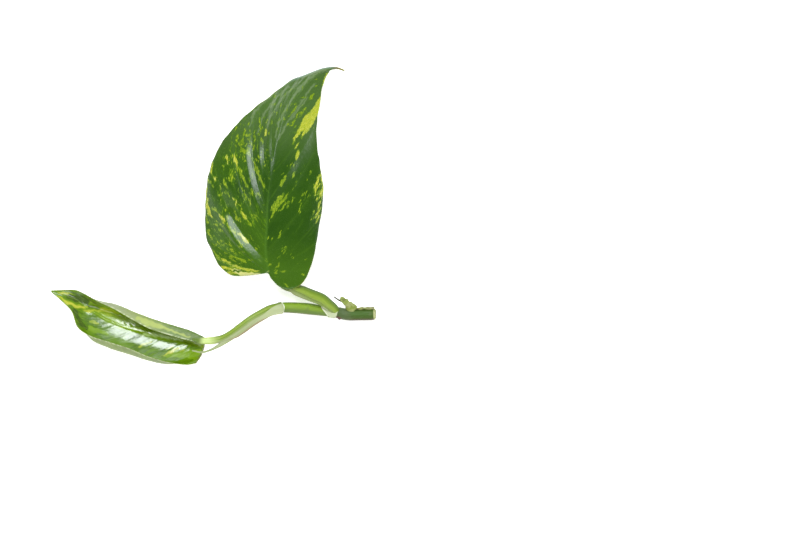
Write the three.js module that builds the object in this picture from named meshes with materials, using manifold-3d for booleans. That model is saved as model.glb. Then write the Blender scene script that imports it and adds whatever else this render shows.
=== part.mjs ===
// A stem cutting of golden pothos with two leaves, lying on a surface.
// Millimetres, +Z up. The surface is at z = 0 and the origin is under the middle of the cutting.
// The old, dark end of the stem points along +X and the large leaf along +Y.
import * as THREE from "three";
import { mergeVertices } from "three/addons/utils/BufferGeometryUtils.js";
import Module from "manifold-3d";

const wasm = await Module();
wasm.setup();

// Driving dimensions
const GAP = 0.3; // between two pieces that touch on the plant
const BLADE_THICKNESS = 0.6;
const LOWEST_SHEET = BLADE_THICKNESS / 2; // a blade's mid-surface where it lies on the surface
const SHEATH_THICKNESS = 0.7;
const SEAT_DEPTH = 0.3;
const STEM_SIDES = 16;
const PETIOLE_SIDES = 12;
const CUTTER_SIZE = 400;
const MERGE_DISTANCE = 1e-3; // points closer than this are one
const TANGENT_STEP = 0.01; // share of a curve's length over which its direction is taken

const lerp = THREE.MathUtils.lerp;
const clamp = THREE.MathUtils.clamp;

// Places read by eye off the photo, which looks straight down on the cutting. A reading starts with the
// pixel across, the pixel down and the height above the surface in millimetres.
const MM_PER_PIXEL = 0.44; // on the surface
const ORIGIN_PIXEL = [213.75, 215.5]; // where x and y are 0
const CENTRE_PIXEL = [400, 267]; // straight below the camera
const CAMERA_HEIGHT = 1956;
const STEPS_PER_MM = 10; // places are rounded to tenths of a millimetre

const rounded = (pixels) => Math.round(pixels * MM_PER_PIXEL * STEPS_PER_MM) / STEPS_PER_MM;

function fromPhoto(readings) {
  return readings.map(([across, down, z, ...rest]) => {
    const nearness = 1 - z / CAMERA_HEIGHT;
    const x = lerp(CENTRE_PIXEL[0], across, nearness) - ORIGIN_PIXEL[0];
    const y = ORIGIN_PIXEL[1] - lerp(CENTRE_PIXEL[1], down, nearness);
    return [rounded(x), rounded(y), z, ...rest];
  });
}

// Stem, from the cut end over the node of the large leaf to the node of the small leaf.
// Each row is a reading, half width, half height.
const STEM = fromPhoto([
  [376.5, 313.8, 2.7, 1.8, 1.8],
  [374.5, 314, 2.75, 2.4, 2.5],
  [371, 314.2, 2.75, 2.6, 2.85],
  [360, 314.4, 2.75, 2.6, 2.9],
  [348, 314.4, 2.8, 2.6, 2.85],
  [342, 313.5, 2.9, 2.5, 2.6],
  [337, 312.4, 3.0, 2.4, 2.4],
  [331, 311.6, 3.1, 2.2, 2.2],
  [322, 310.5, 3.3, 2.3, 2.3],
  [310, 309, 3.6, 2.5, 2.5],
  [297, 307.8, 3.9, 2.4, 2.4],
  [286.2, 307.4, 4.2, 2.3, 2.3],
]);
const STEM_RINGS = 26;

// Petiole cores, from the node to the blade. Each row is a reading, half width, half height and the
// reach of the sheath wing.
const PETIOLE_LARGE = fromPhoto([
  [340, 311, 3.2, 2.1, 1.8, 3.0],
  [334.5, 307.5, 5.0, 2.3, 2.0, 3.4],
  [327.5, 303.5, 6.8, 2.35, 2.2, 3.9],
  [321.5, 299.1, 8.0, 2.35, 2.2, 4.2],
  [313.4, 295.4, 9.1, 2.2, 2.2, 4.0],
  [304.9, 291.1, 10.2, 2.0, 2.1, 3.6],
  [297, 287.4, 11.3, 1.75, 1.9, 3.0],
  [286, 280.6, 12.6, 1.5, 1.5, 2.5],
  [277, 275.8, 13.9, 1.35, 1.3, 2.2],
  [271.4, 272.8, 15.1, 1.2, 1.1, 2.0],
  [268.6, 270.1, 16.2, 1.1, 1.0, 1.8],
]);
const PETIOLE_SMALL = fromPhoto([
  [281.4, 307, 4.4, 2.1, 2.1, 3.0],
  [270, 309, 5.6, 1.8, 1.9, 3.1],
  [260, 313.6, 6.8, 1.6, 1.7, 3.3],
  [250, 319.4, 7.6, 1.5, 1.6, 3.5],
  [240, 326.6, 7.9, 1.45, 1.5, 3.45],
  [230, 334, 7.6, 1.4, 1.4, 3.1],
  [222, 338, 7.1, 1.3, 1.3, 2.6],
  [214, 339.4, 6.6, 1.15, 1.2, 2.2],
  [207.7, 340.3, 6.0, 1.05, 1.1, 2.0],
]);
const PETIOLE_RINGS = 22;
const PETIOLE_START = 0.04; // share of a petiole's path at which its core starts
const SEAT_START = 0.02;

// Sheath wings run along one side of a petiole core, over these shares of its length
const WING_TOP = 0.9; // radians above the side
const WING_BOTTOM = -1.0;
const WING_STEPS = 7;
const WING_RINGS = 16;
const WING_RIM = 0.65; // how far the wing stands above the core's own height
const WING_END_REACH = 1.2; // how far it stands out from the core's side at its far end
const WING_END_RINGS = 4; // over which it narrows to that
const LARGE_WING_SPAN = [0.06, 0.56];
const SMALL_WING_SPAN = [0, 0.8];
// The free tips in which the wings end, as a reading, half width, half height
const LARGE_WING_TIP = fromPhoto([
  [300.8, 296.1, 9.7, 0.8, 0.8],
  [294, 292.7, 9.9, 0.6, 0.5],
  [287, 291, 10.3, 0.5, 0.4],
  [281, 288.8, 10.8, 0.35, 0.3],
]);
const SMALL_WING_TIP = fromPhoto([
  [227.9, 340.1, 7.0, 0.9, 0.8],
  [220.8, 344.4, 7.4, 0.7, 0.6],
  [209, 351.8, 9.2, 0.45, 0.4],
  [202.2, 353.2, 10.6, 0.4, 0.35],
  [192.1, 350.5, 11.4, 0.3, 0.3],
]);
const TIP_RINGS = 10;
const TIP_SIDES = 8;

// Pale collar where the large leaf's sheath clasps the stem, between two lines given over the angle
// around the stem: 0 is the side at -Y and a quarter turn is the top.
const COLLAR_ANGLES = [-0.8, 1.65];
const COLLAR_RIGHT_X = 54.3;
const COLLAR_LEFT_X = [52.4, 46.6]; // at the lower and at the upper angle
// The small leaf's collar is a thin disc across the end of the stem
const DISC = [
  [31.3, -40.4, 4.25, 2.3, 2.3],
  [31.0, -40.4, 4.3, 2.55, 2.5],
  [30.2, -40.45, 4.4, 2.6, 2.55],
  [29.4, -40.5, 4.5, 2.5, 2.4],
];
const DISC_RINGS = 6;

// What is left of an older leaf: a short torn stub, a dried sliver and a strip along the stem
const OLD_STUB = fromPhoto([
  [352.5, 310.1, 4.0, 3.0, 1.6],
  [349.8, 307, 5.0, 2.4, 1.4],
  [346.5, 303, 6.0, 1.6, 1.0],
  [343, 299.5, 6.8, 1.1, 0.7],
  [339.9, 298, 7.2, 0.5, 0.4],
]);
const OLD_SLIVER = fromPhoto([
  [344, 302, 6.5, 0.5, 0.4],
  [339, 300.2, 7.0, 0.35, 0.35],
  [334, 296.8, 7.3, 0.3, 0.3],
]);
const STUB_RINGS = 12;
const STUB_SIDES = 12;
const STRIP_ANGLES = [2.15, 3.3];
const STRIP_X = [70.6, 57.6];
// Divisions of the collar and the strip round the stem and along it
const COLLAR_GRID = { rows: 8, steps: 8 };
const STRIP_GRID = { rows: 6, steps: 12 };

// Dormant root below the large leaf's node
const ROOT_NUB = { centre: [55.6, -45.1, 2.2], radius: 0.65 };

// Large blade: midrib and margins from the petiole to the tip, as x, y, z
const LARGE_MIDRIB = [
  [24.5, -25.0, 17.5],
  [23.5, -15.0, 19.0],
  [24.0, -4.5, 21.0],
  [24.5, 6.5, 22.0],
  [26.0, 18.5, 22.5],
  [28.5, 31.5, 21.0],
  [32.0, 43.5, 17.5],
  [38.0, 53.0, 12.5],
  [44.5, 60.5, 7.5],
  [50.5, 64.0, 3.2],
  [54.0, 64.7, 1.0],
  [57.6, 63.7, 0.0],
];
const LARGE_LEFT = [
  [19.0, -25.5, 15.5],
  [13.0, -26.5, 12.5],
  [7.5, -26.0, 11.0],
  [3.0, -22.0, 10.0],
  [-0.5, -15.5, 9.0],
  [-3.0, -9.0, 9.0],
  [-3.4, 0.5, 8.5],
  [-3.0, 10.0, 9.0],
  [-1.4, 20.0, 10.0],
  [2.4, 29.0, 11.0],
  [8.5, 37.5, 11.5],
  [17.0, 46.0, 10.5],
  [27.5, 54.0, 8.5],
  [33.0, 58.5, 7.0],
  [38.0, 60.7, 6.0],
  [46.5, 64.2, 3.5],
  [53.5, 65.4, 1.1],
  [57.7, 64.0, 0.0],
];
const LARGE_RIGHT = [
  [25.5, -27.5, 16.8],
  [29.0, -31.0, 15.8],
  [33.5, -32.5, 15.2],
  [38.5, -30.5, 15.0],
  [42.0, -25.5, 14.8],
  [44.5, -17.0, 14.8],
  [46.0, -8.5, 15.0],
  [47.5, 0.5, 15.5],
  [48.5, 8.5, 16.0],
  [47.5, 19.0, 17.0],
  [46.0, 29.0, 17.0],
  [45.5, 39.0, 15.0],
  [47.0, 49.0, 11.0],
  [48.0, 56.5, 7.0],
  [50.3, 62.5, 3.3],
  [51.5, 64.0, 2.2],
  [54.3, 64.5, 0.8],
  [57.5, 63.5, 0.0],
];
// Its lateral veins: a fan of them starts at the petiole and the others start along the midrib. Each
// one sweeps towards the tip before it reaches the margin.
const VEIN_FAN = 0.3; // share of the veins in the fan
const VEIN_FAN_MARGIN = 0.4; // share of the margin that the fan reaches
const VEIN_SWEEP = 1.0;
const VEIN_COUNT = 14;
const VEIN_BOW = { left: 0.18, right: 0.04 };
const VEIN_ROWS = 42;
const VEIN_STEPS = 9;
const BLADE_BULGE = { left: 2.2, right: 1.5 };
const QUILT_HEIGHT = 0.45;
const BULGE_WIDTH = 40; // a vein of this length carries the full bulge

// Small blade, rolled up along both sides. Each row of readings crosses it from one margin to the other,
// from the petiole to the tip: lower margin, lower side, belly, midrib, upper side, upper margin.
const SMALL_BLADE = [
  [
    [199, 360, 6.5], [202, 354, 4.8], [204.5, 348, 4.2],
    [207, 341, 5.3], [205.8, 338.3, 7.2], [203.5, 341.5, 8.8],
  ],
  [
    [186, 364.8, 8], [188, 360, 5], [190, 352, 2.3],
    [192, 341, 2.8], [190.5, 331.3, 7.5], [187, 339.5, 10.5],
  ],
  [
    [167, 361, 9], [169, 363, 6], [172, 352, 0.6],
    [175, 338, 2.2], [172, 325.5, 8.2], [168, 334.5, 11.8],
  ],
  [
    [148, 351.5, 10.3], [150, 360, 6], [153.1, 349, -0.4],
    [157, 332, 2], [154, 319.8, 8.6], [149, 328.5, 12.6],
  ],
  [
    [128, 344.5, 10.5], [129, 353.5, 6], [133.1, 342, -0.4],
    [138, 325, 2], [135, 312.8, 8.6], [131, 319, 12.6],
  ],
  [
    [108, 338.8, 9.8], [109, 347, 5.6], [113.1, 335, -0.4],
    [119, 317, 2.2], [117, 305.3, 8.4], [113, 308.5, 12],
  ],
  [
    [90, 334.8, 7.5], [91.5, 338.5, 5], [96.1, 326.9, 0.7],
    [101, 310, 2.8], [100.5, 301.5, 7.8], [97, 301.2, 10.5],
  ],
  [
    [77.5, 327, 5.2], [80, 320, 3.8], [82, 313, 3.2],
    [85, 304, 3.8], [86, 298, 6], [84, 293.5, 8.3],
  ],
  [
    [71.5, 311.5, 4.8], [72.5, 308, 4.4], [73.5, 304, 4.3],
    [74.5, 299, 4.6], [75.5, 294, 5.8], [75, 290, 7.2],
  ],
  [
    [62, 301.5, 4.9], [62.5, 299.5, 4.8], [63, 297.5, 4.8],
    [63.5, 295, 4.9], [64, 292.3, 5.5], [64.5, 289.8, 6.3],
  ],
  [
    [51.3, 292.4, 5], [51.2, 292, 5], [51.1, 291.6, 5.05],
    [51, 291.2, 5.1], [51, 290.8, 5.15], [51, 290.4, 5.2],
  ],
].map(fromPhoto);
const SMALL_ROWS = 30;
const SMALL_STEPS = 18;

const UP = new THREE.Vector3(0, 0, 1);

// A smooth curve through rows of numbers that start with x, y, z. It takes a share of the length
// from 0 to 1 and gives all the numbers of a row there.
function spline(rows) {
  const knots = [0];
  for (let i = 1; i < rows.length; i++) {
    const step = Math.hypot(...[0, 1, 2].map((k) => rows[i][k] - rows[i - 1][k]));
    knots.push(knots[i - 1] + Math.max(step, MERGE_DISTANCE));
  }
  const last = rows.length - 1;
  const slope = (i, k) => {
    const a = Math.max(i - 1, 0);
    const b = Math.min(i + 1, last);
    return (rows[b][k] - rows[a][k]) / (knots[b] - knots[a]);
  };
  return (share) => {
    const at = clamp(share, 0, 1) * knots[last];
    let i = 0;
    while (i < last - 1 && knots[i + 1] < at) i++;
    const h = knots[i + 1] - knots[i];
    const t = (at - knots[i]) / h;
    const t2 = t * t;
    const t3 = t2 * t;
    return rows[i].map(
      (_, k) =>
        (2 * t3 - 3 * t2 + 1) * rows[i][k] +
        (t3 - 2 * t2 + t) * h * slope(i, k) +
        (3 * t2 - 2 * t3) * rows[i + 1][k] +
        (t3 - t2) * h * slope(i + 1, k),
    );
  };
}

const vector = (row) => new THREE.Vector3(row[0], row[1], row[2]);

// What a function gives at the ends of equal steps from 0 to 1
const evenly = (steps, make) => Array.from({ length: steps + 1 }, (_, i) => make(i / steps));

const vectorsOf = (attribute) =>
  Array.from({ length: attribute.count }, (_, i) =>
    new THREE.Vector3().fromBufferAttribute(attribute, i),
  );

function trianglesOf(index) {
  const faces = [];
  for (let i = 0; i < index.count; i += 3) faces.push([0, 1, 2].map((k) => index.getX(i + k)));
  return faces;
}

// Centre and axes of the section of a stalk at a share of its length
function section(curve, share) {
  const row = curve(share);
  const [behind, ahead] = [share - TANGENT_STEP, share + TANGENT_STEP];
  const tangent = vector(curve(ahead)).sub(vector(curve(behind))).normalize();
  const across = UP.clone().cross(tangent).normalize();
  const up = tangent.clone().cross(across);
  return { row, centre: vector(row), across, up };
}

// A closed body through rings that all have the same number of points
function loft(rings) {
  const count = rings[0].length;
  const points = rings.flat();
  const triangles = [];
  for (let r = 0; r + 1 < rings.length; r++)
    for (let k = 0; k < count; k++) {
      const a = r * count + k;
      const b = r * count + ((k + 1) % count);
      triangles.push([a, b, b + count], [a, b + count, a + count]);
    }
  for (const [ring, flip] of [[0, true], [rings.length - 1, false]]) {
    const shape = THREE.ShapeUtils.triangulateShape(flatRing(rings[ring]), []);
    for (const [a, b, c] of shape) {
      const face = [a, b, c].map((v) => v + ring * count);
      triangles.push(flip ? face.reverse() : face);
    }
  }
  return solid(points, triangles);
}

// The points of a ring in its own plane, for the caps
function flatRing(ring) {
  const centre = ring.reduce((sum, p) => sum.add(p), new THREE.Vector3()).divideScalar(ring.length);
  const normal = new THREE.Vector3();
  ring.forEach((p, i) => {
    const next = ring[(i + 1) % ring.length];
    normal.add(p.clone().sub(centre).cross(next.clone().sub(centre)));
  });
  normal.normalize();
  const x = ring[0].clone().sub(centre).normalize();
  const y = normal.clone().cross(x);
  return ring.map((p) => {
    const arm = p.clone().sub(centre);
    return new THREE.Vector2(arm.dot(x), arm.dot(y));
  });
}

// A solid for cutting and joining, turned outside out
function solid(points, triangles) {
  const build = (faces) =>
    new wasm.Manifold(
      new wasm.Mesh({
        numProp: 3,
        vertProperties: new Float32Array(points.flatMap((p) => [p.x, p.y, p.z])),
        triVerts: new Uint32Array(faces.flat()),
      }),
    );
  const made = build(triangles);
  return made.volume() < 0 ? build(triangles.map(([a, b, c]) => [a, c, b])) : made;
}

// A stalk of oval section along a curve, with "grow" added all round
function stalk(rows, { rings, sides, grow = 0, span = [0, 1] }) {
  const curve = spline(rows);
  const ring = (share) => {
    const { row, centre, across, up } = section(curve, share);
    return Array.from({ length: sides }, (_, k) => {
      const angle = (2 * Math.PI * (k + 0.5)) / sides;
      return centre
        .clone()
        .addScaledVector(across, (row[3] + grow) * Math.cos(angle))
        .addScaledVector(up, (row[4] + grow) * Math.sin(angle));
    });
  };
  return loft(evenly(rings, (part) => ring(lerp(...span, part))));
}

// A sheath wing: a crescent that follows one side of a petiole core
function wing(rows, span) {
  const curve = spline(rows);
  const ring = (share, taper) => {
    const { row, centre, across, up } = section(curve, share);
    const [halfWidth, halfHeight, reach] = row.slice(3);
    const point = (angle, a, b) =>
      centre
        .clone()
        .addScaledVector(across, a * Math.cos(angle))
        .addScaledVector(up, b * Math.sin(angle));
    const angles = evenly(WING_STEPS, (part) => lerp(WING_BOTTOM, WING_TOP, part));
    const out = lerp(halfWidth + WING_END_REACH, reach, taper);
    const outer = angles.map((angle) => point(angle, out, halfHeight + WING_RIM));
    const inner = angles.map((angle) => point(angle, halfWidth, halfHeight)).reverse();
    return [...outer, ...inner];
  };
  const taper = (part) => Math.min(1, ((1 - part) * WING_RINGS) / WING_END_RINGS);
  return loft(evenly(WING_RINGS, (part) => ring(lerp(...span, part), taper(part))));
}

// A plate of even thickness from a mid-surface given as a grid of points. Points that coincide are
// merged, and both faces are split into the same triangles.
function plate(grid, thickness) {
  const corners = [];
  const width = grid[0].length;
  for (let i = 0; i + 1 < grid.length; i++)
    for (let j = 0; j + 1 < width; j++) {
      const [a, b, c, d] = [grid[i][j], grid[i][j + 1], grid[i + 1][j + 1], grid[i + 1][j]];
      const shortDiagonal = a.distanceTo(c) < b.distanceTo(d);
      corners.push(...(shortDiagonal ? [a, b, c, a, c, d] : [a, b, d, b, c, d]));
    }
  const sheet = mergeVertices(new THREE.BufferGeometry().setFromPoints(corners), MERGE_DISTANCE);
  const faces = trianglesOf(sheet.index).filter((face) => new Set(face).size === 3);
  sheet.setIndex(faces.flat());
  sheet.computeVertexNormals();
  const middle = vectorsOf(sheet.attributes.position);
  const normals = vectorsOf(sheet.attributes.normal);
  const count = middle.length;
  const side = (lift) => middle.map((point, i) => point.clone().addScaledVector(normals[i], lift));
  const edges = new Set(faces.flatMap(([a, b, c]) => [a + "," + b, b + "," + c, c + "," + a]));
  const rim = [];
  for (const edge of edges) {
    const [a, b] = edge.split(",").map(Number);
    if (edges.has(b + "," + a)) continue;
    rim.push([b, a, a + count], [b, a + count, b + count]);
  }
  const under = faces.map(([a, b, c]) => [c + count, b + count, a + count]);
  return solid([...side(thickness / 2), ...side(-thickness / 2)], [...faces, ...under, ...rim]);
}

// The solid of a closed geometry
function solidOf(geometry) {
  geometry.deleteAttribute("normal");
  geometry.deleteAttribute("uv");
  const { attributes, index } = mergeVertices(geometry, MERGE_DISTANCE);
  return solid(vectorsOf(attributes.position), trianglesOf(index));
}

// Everything below the surface that the cutting lies on
function belowSurface() {
  const box = new THREE.BoxGeometry(CUTTER_SIZE, CUTTER_SIZE, CUTTER_SIZE);
  return solidOf(box.translate(0, 0, -CUTTER_SIZE / 2));
}

// The largest body of a solid, which drops the loose scraps that a cut leaves
function largest(body) {
  return body.decompose().sort((a, b) => b.volume() - a.volume())[0];
}

const stemOptions = { rings: STEM_RINGS, sides: STEM_SIDES };
const petioleOptions = { rings: PETIOLE_RINGS, sides: PETIOLE_SIDES, span: [PETIOLE_START, 1] };
const seatOptions = { ...petioleOptions, grow: GAP, span: [SEAT_START, 1] };
const tipOptions = { rings: TIP_RINGS, sides: TIP_SIDES };
const stemGrown = stalk(STEM, { ...stemOptions, grow: GAP });
const ground = belowSurface();

function stem() {
  const { centre, radius } = ROOT_NUB;
  const root = solidOf(new THREE.IcosahedronGeometry(radius, 1).translate(...centre));
  return stalk(STEM, stemOptions).add(root).subtract(ground);
}

// A plate wrapped round the stem between two ends given over the angle
function stemWrap(angles, ends, { rows, steps }) {
  const curve = spline(STEM);
  const [startX, endX] = [STEM[0][0], STEM[STEM.length - 1][0]];
  const lift = GAP + SHEATH_THICKNESS / 2;
  const grid = evenly(rows, (part) => {
    const angle = lerp(...angles, part);
    return evenly(steps, (along) => {
      const x = lerp(...ends(part), along);
      const { row, centre, across, up } = section(curve, (startX - x) / (startX - endX));
      return centre
        .addScaledVector(across, (row[3] + lift) * Math.cos(angle))
        .addScaledVector(up, (row[4] + lift) * Math.sin(angle));
    });
  });
  return plate(grid, SHEATH_THICKNESS);
}

// Pieces that leave the stem are cut a little further from it than the plate that wraps it, so that
// the two join through the middle of the plate.
const stemSeat = stalk(STEM, { ...stemOptions, grow: GAP + SEAT_DEPTH });

function sheathLarge() {
  const ends = (part) => [COLLAR_RIGHT_X, lerp(...COLLAR_LEFT_X, part)];
  const collar = stemWrap(COLLAR_ANGLES, ends, COLLAR_GRID);
  const free = wing(PETIOLE_LARGE, LARGE_WING_SPAN).add(stalk(LARGE_WING_TIP, tipOptions));
  return free.subtract(stemSeat).add(collar).subtract(stalk(PETIOLE_LARGE, seatOptions));
}

function sheathSmall() {
  const disc = stalk(DISC, { rings: DISC_RINGS, sides: PETIOLE_SIDES });
  const free = wing(PETIOLE_SMALL, SMALL_WING_SPAN).add(stalk(SMALL_WING_TIP, tipOptions));
  return free.subtract(stalk(PETIOLE_SMALL, seatOptions)).add(disc).subtract(bladeSmallGrown);
}

function oldPetiole() {
  const strip = stemWrap(STRIP_ANGLES, () => STRIP_X, STRIP_GRID);
  const stub = stalk(OLD_STUB, { rings: STUB_RINGS, sides: STUB_SIDES });
  return stub.add(stalk(OLD_SLIVER, tipOptions)).subtract(stemSeat).add(strip);
}

// A lateral vein of the large blade, from midrib to margin: "order" runs from 0 at the petiole to 1
// at the tip, and "along" from 0 at the midrib to 1 at the margin.
function veinPoint(midrib, margin, side, order, along) {
  const beyondFan = Math.max(0, (order - VEIN_FAN) / (1 - VEIN_FAN));
  const marginShare =
    order < VEIN_FAN
      ? (VEIN_FAN_MARGIN * order) / VEIN_FAN
      : lerp(VEIN_FAN_MARGIN, 1, beyondFan) + VEIN_SWEEP * beyondFan * (1 - beyondFan) ** 2;
  const start = vector(midrib(beyondFan));
  const end = vector(margin(marginShare));
  const chord = end.clone().sub(start);
  const length = chord.length();
  const outward = new THREE.Vector3(-chord.y, chord.x, 0).multiplyScalar(side === "left" ? 1 : -1);
  const bow = VEIN_BOW[side] * 4 * along * (1 - along) * Math.min(1, order / VEIN_FAN);
  const point = start.lerp(end, along).addScaledVector(outward, bow / 2);
  const full = Math.min(1, length / BULGE_WIDTH) ** 2;
  const crown = 4 * along * (1 - along) * BLADE_BULGE[side] * full;
  const ripple = QUILT_HEIGHT * Math.sin(Math.PI * VEIN_COUNT * order) ** 2;
  point.z = Math.max(LOWEST_SHEET, point.z + crown + ripple * Math.sin(Math.PI * along) * full);
  return point;
}

function bladeLarge(thickness) {
  const midrib = spline(LARGE_MIDRIB);
  const margins = { left: spline(LARGE_LEFT), right: spline(LARGE_RIGHT) };
  const grid = evenly(VEIN_ROWS, (order) =>
    Array.from({ length: 2 * VEIN_STEPS + 1 }, (_, j) => {
      const side = j < VEIN_STEPS ? "left" : "right";
      return veinPoint(midrib, margins[side], side, order, Math.abs(j / VEIN_STEPS - 1));
    }),
  );
  return plate(grid, thickness).subtract(ground);
}

function bladeSmall(thickness) {
  const lines = SMALL_BLADE[0].map((_, k) => spline(SMALL_BLADE.map((row) => row[k])));
  const grid = evenly(SMALL_ROWS, (order) => {
    const across = spline(lines.map((line) => line(order)));
    return evenly(SMALL_STEPS, (along) => {
      const point = vector(across(along));
      point.z = Math.max(LOWEST_SHEET, point.z);
      return point;
    });
  });
  return plate(grid, thickness).subtract(ground);
}

const group = new THREE.Group();

function place(name, body, colour, roughness) {
  const { vertProperties, triVerts } = largest(body).getMesh();
  const geometry = new THREE.BufferGeometry();
  geometry.setAttribute("position", new THREE.BufferAttribute(vertProperties, 3));
  geometry.setIndex(new THREE.BufferAttribute(triVerts, 1));
  geometry.computeVertexNormals();
  const material = new THREE.MeshStandardMaterial({ color: colour, roughness, metalness: 0 });
  const part = new THREE.Mesh(geometry, material);
  part.name = name;
  group.add(part);
}

const bladeLargeGrown = bladeLarge(BLADE_THICKNESS + 2 * GAP);
const bladeSmallGrown = bladeSmall(BLADE_THICKNESS + 2 * GAP);
const petiole = (rows, blade) => stalk(rows, petioleOptions).subtract(stemGrown).subtract(blade);

place("stem", stem(), 0x5f8136, 0.45);
place("old_petiole", oldPetiole(), 0x9aa86b, 0.7);
place("petiole_large", petiole(PETIOLE_LARGE, bladeLargeGrown), 0x8fab45, 0.45);
place("petiole_small", petiole(PETIOLE_SMALL, bladeSmallGrown), 0x93b044, 0.45);
place("sheath_large", sheathLarge(), 0xbac79a, 0.55);
place("sheath_small", sheathSmall(), 0xbfcba4, 0.55);
place("blade_large", bladeLarge(BLADE_THICKNESS), 0x42651f, 0.35);
place("blade_small", bladeSmall(BLADE_THICKNESS), 0x6a9a1f, 0.35);

export default group;
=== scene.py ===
"""A stem cutting of golden pothos with two leaves, lying on a pale surface and seen from above.

Lengths are in millimetres until a mesh is made. +X runs along the stem to its old cut end and +Y
towards the tip of the large leaf. The stalks and blades follow the solids, apart from small changes
that bring them nearer the photo.
"""

import math

import bpy
import numpy as np
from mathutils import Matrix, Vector


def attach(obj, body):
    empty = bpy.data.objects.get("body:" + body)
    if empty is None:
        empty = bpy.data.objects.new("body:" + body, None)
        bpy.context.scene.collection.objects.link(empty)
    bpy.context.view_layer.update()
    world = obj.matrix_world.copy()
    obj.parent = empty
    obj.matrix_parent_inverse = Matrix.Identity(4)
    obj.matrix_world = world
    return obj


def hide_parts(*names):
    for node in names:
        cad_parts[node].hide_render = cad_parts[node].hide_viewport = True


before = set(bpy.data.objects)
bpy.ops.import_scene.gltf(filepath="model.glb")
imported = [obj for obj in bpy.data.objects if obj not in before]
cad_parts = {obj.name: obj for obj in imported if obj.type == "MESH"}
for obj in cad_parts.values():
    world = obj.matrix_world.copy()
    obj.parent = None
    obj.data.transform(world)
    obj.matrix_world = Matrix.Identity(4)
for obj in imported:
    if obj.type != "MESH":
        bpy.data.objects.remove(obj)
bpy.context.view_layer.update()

MM = 0.001
MERGE = 1e-3  # mm, points closer than this are one
TANGENT_STEP = 0.01
UP = np.array([0.0, 0.0, 1.0])

# Camera, straight above and looking down
PHOTO_WIDTH_MM = 352.0  # width of the surface in view
LENS = 200.0  # focal length
SENSOR = 36.0  # width
CAMERA_X = 81.95
CAMERA_Y = -22.66
CAMERA_HEIGHT = PHOTO_WIDTH_MM * LENS / SENSOR

# Places read off the photo, as pixel across and pixel down
MM_PER_PIXEL = 0.44  # on the surface
ORIGIN_PIXEL = (213.75, 215.5)  # where x and y are 0
LARGE_LEAF_HEIGHT = 13.0  # taken for all its marks
FLAP_HEIGHT = 11.0


def seen(across, down, height):
    """x, y and z, to a tenth of a millimetre, of a place read off the photo."""
    nearness = 1 - height / CAMERA_HEIGHT
    x = CAMERA_X + ((across - ORIGIN_PIXEL[0]) * MM_PER_PIXEL - CAMERA_X) * nearness
    y = CAMERA_Y + ((ORIGIN_PIXEL[1] - down) * MM_PER_PIXEL - CAMERA_Y) * nearness
    return round(x, 1), round(y, 1), height


def seen_marks(height, readings):
    """Strokes in millimetres from strokes through points: pixel across, pixel down, radius in pixels."""

    def mark(across, down, radius):
        x, y, _ = seen(across, down, height)
        return x, y, round(radius * MM_PER_PIXEL, 2)

    return [[mark(*point) for point in stroke] for stroke in readings]


# Stalks as x, y, z, half width, half height, and for a petiole the reach of its sheath wing
STEM = [
    (71.2, -43.3, 2.75, 2.0, 2.05),
    (70.75, -43.3, 2.75, 2.4, 2.45),
    (69.2, -43.4, 2.75, 2.6, 2.75),
    (*seen(360, 314.4, 2.75), 2.6, 2.9),
    (*seen(348, 314.4, 2.8), 2.6, 2.85),
    (*seen(342, 313.5, 2.9), 2.5, 2.6),
    (*seen(337, 312.4, 3.0), 2.4, 2.4),
    (*seen(331, 311.6, 3.1), 2.2, 2.2),
    (*seen(322, 310.5, 3.3), 2.3, 2.3),
    (*seen(310, 309, 3.6), 2.5, 2.5),
    (*seen(297, 307.8, 3.9), 2.4, 2.4),
    (*seen(286.2, 307.4, 4.2), 2.3, 2.3),
    (29.2, -40.4, 4.4, 2.15, 2.15),
]
PETIOLE_LARGE = [
    (54.2, -42.4, 3.4, 1.9, 1.7, 2.2),
    (52.7, -40.8, 5.2, 2.2, 2.0, 2.2),
    (50.2, -38.8, 6.8, 2.45, 2.2, 2.45),
    (47.6, -36.8, 8.0, 2.6, 2.2, 2.75),
    (43.8, -35.15, 9.1, 2.5, 2.2, 3.0),
    (40.1, -33.4, 10.2, 2.2, 2.1, 3.3),
    (36.6, -31.9, 11.3, 1.95, 1.9, 3.2),
    (31.8, -29.0, 12.6, 1.5, 1.5, 2.8),
    (28.0, -26.7, 13.9, 1.35, 1.3, 2.3),
    (25.8, -25.2, 15.1, 1.2, 1.1, 2.0),
    (24.6, -24.4, 16.2, 1.1, 1.0, 1.8),
    (24.2, -23.9, 17.4, 0.9, 0.9, 1.4),
]
PETIOLE_SMALL = [
    (*seen(281.4, 307, 4.4), 2.1, 2.1, 3.0),
    (*seen(270, 309, 5.6), 1.8, 1.9, 3.1),
    (*seen(260, 313.6, 6.8), 1.6, 1.7, 3.3),
    (*seen(250, 319.4, 7.6), 1.5, 1.6, 3.5),
    (*seen(240, 326.6, 7.9), 1.45, 1.5, 3.45),
    (*seen(230, 334, 7.6), 1.4, 1.4, 3.1),
    (3.9, -53.9, 7.1, 1.5, 1.3, 2.6),
    (0.4, -54.8, 7.3, 1.7, 1.25, 2.2),
    (-2.4, -55.0, 7.9, 1.6, 1.1, 2.0),
    (-5.4, -55.0, 8.9, 1.3, 0.75, 1.6),
    (-8.8, -54.3, 10.2, 0.6, 0.35, 1.2),
]
# Angle and depth of the groove in a petiole
LARGE_GROOVE = (0.77, 0.08)
SMALL_GROOVE = (1.47, 0.12)
GROOVE_WIDTH = 0.16
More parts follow.
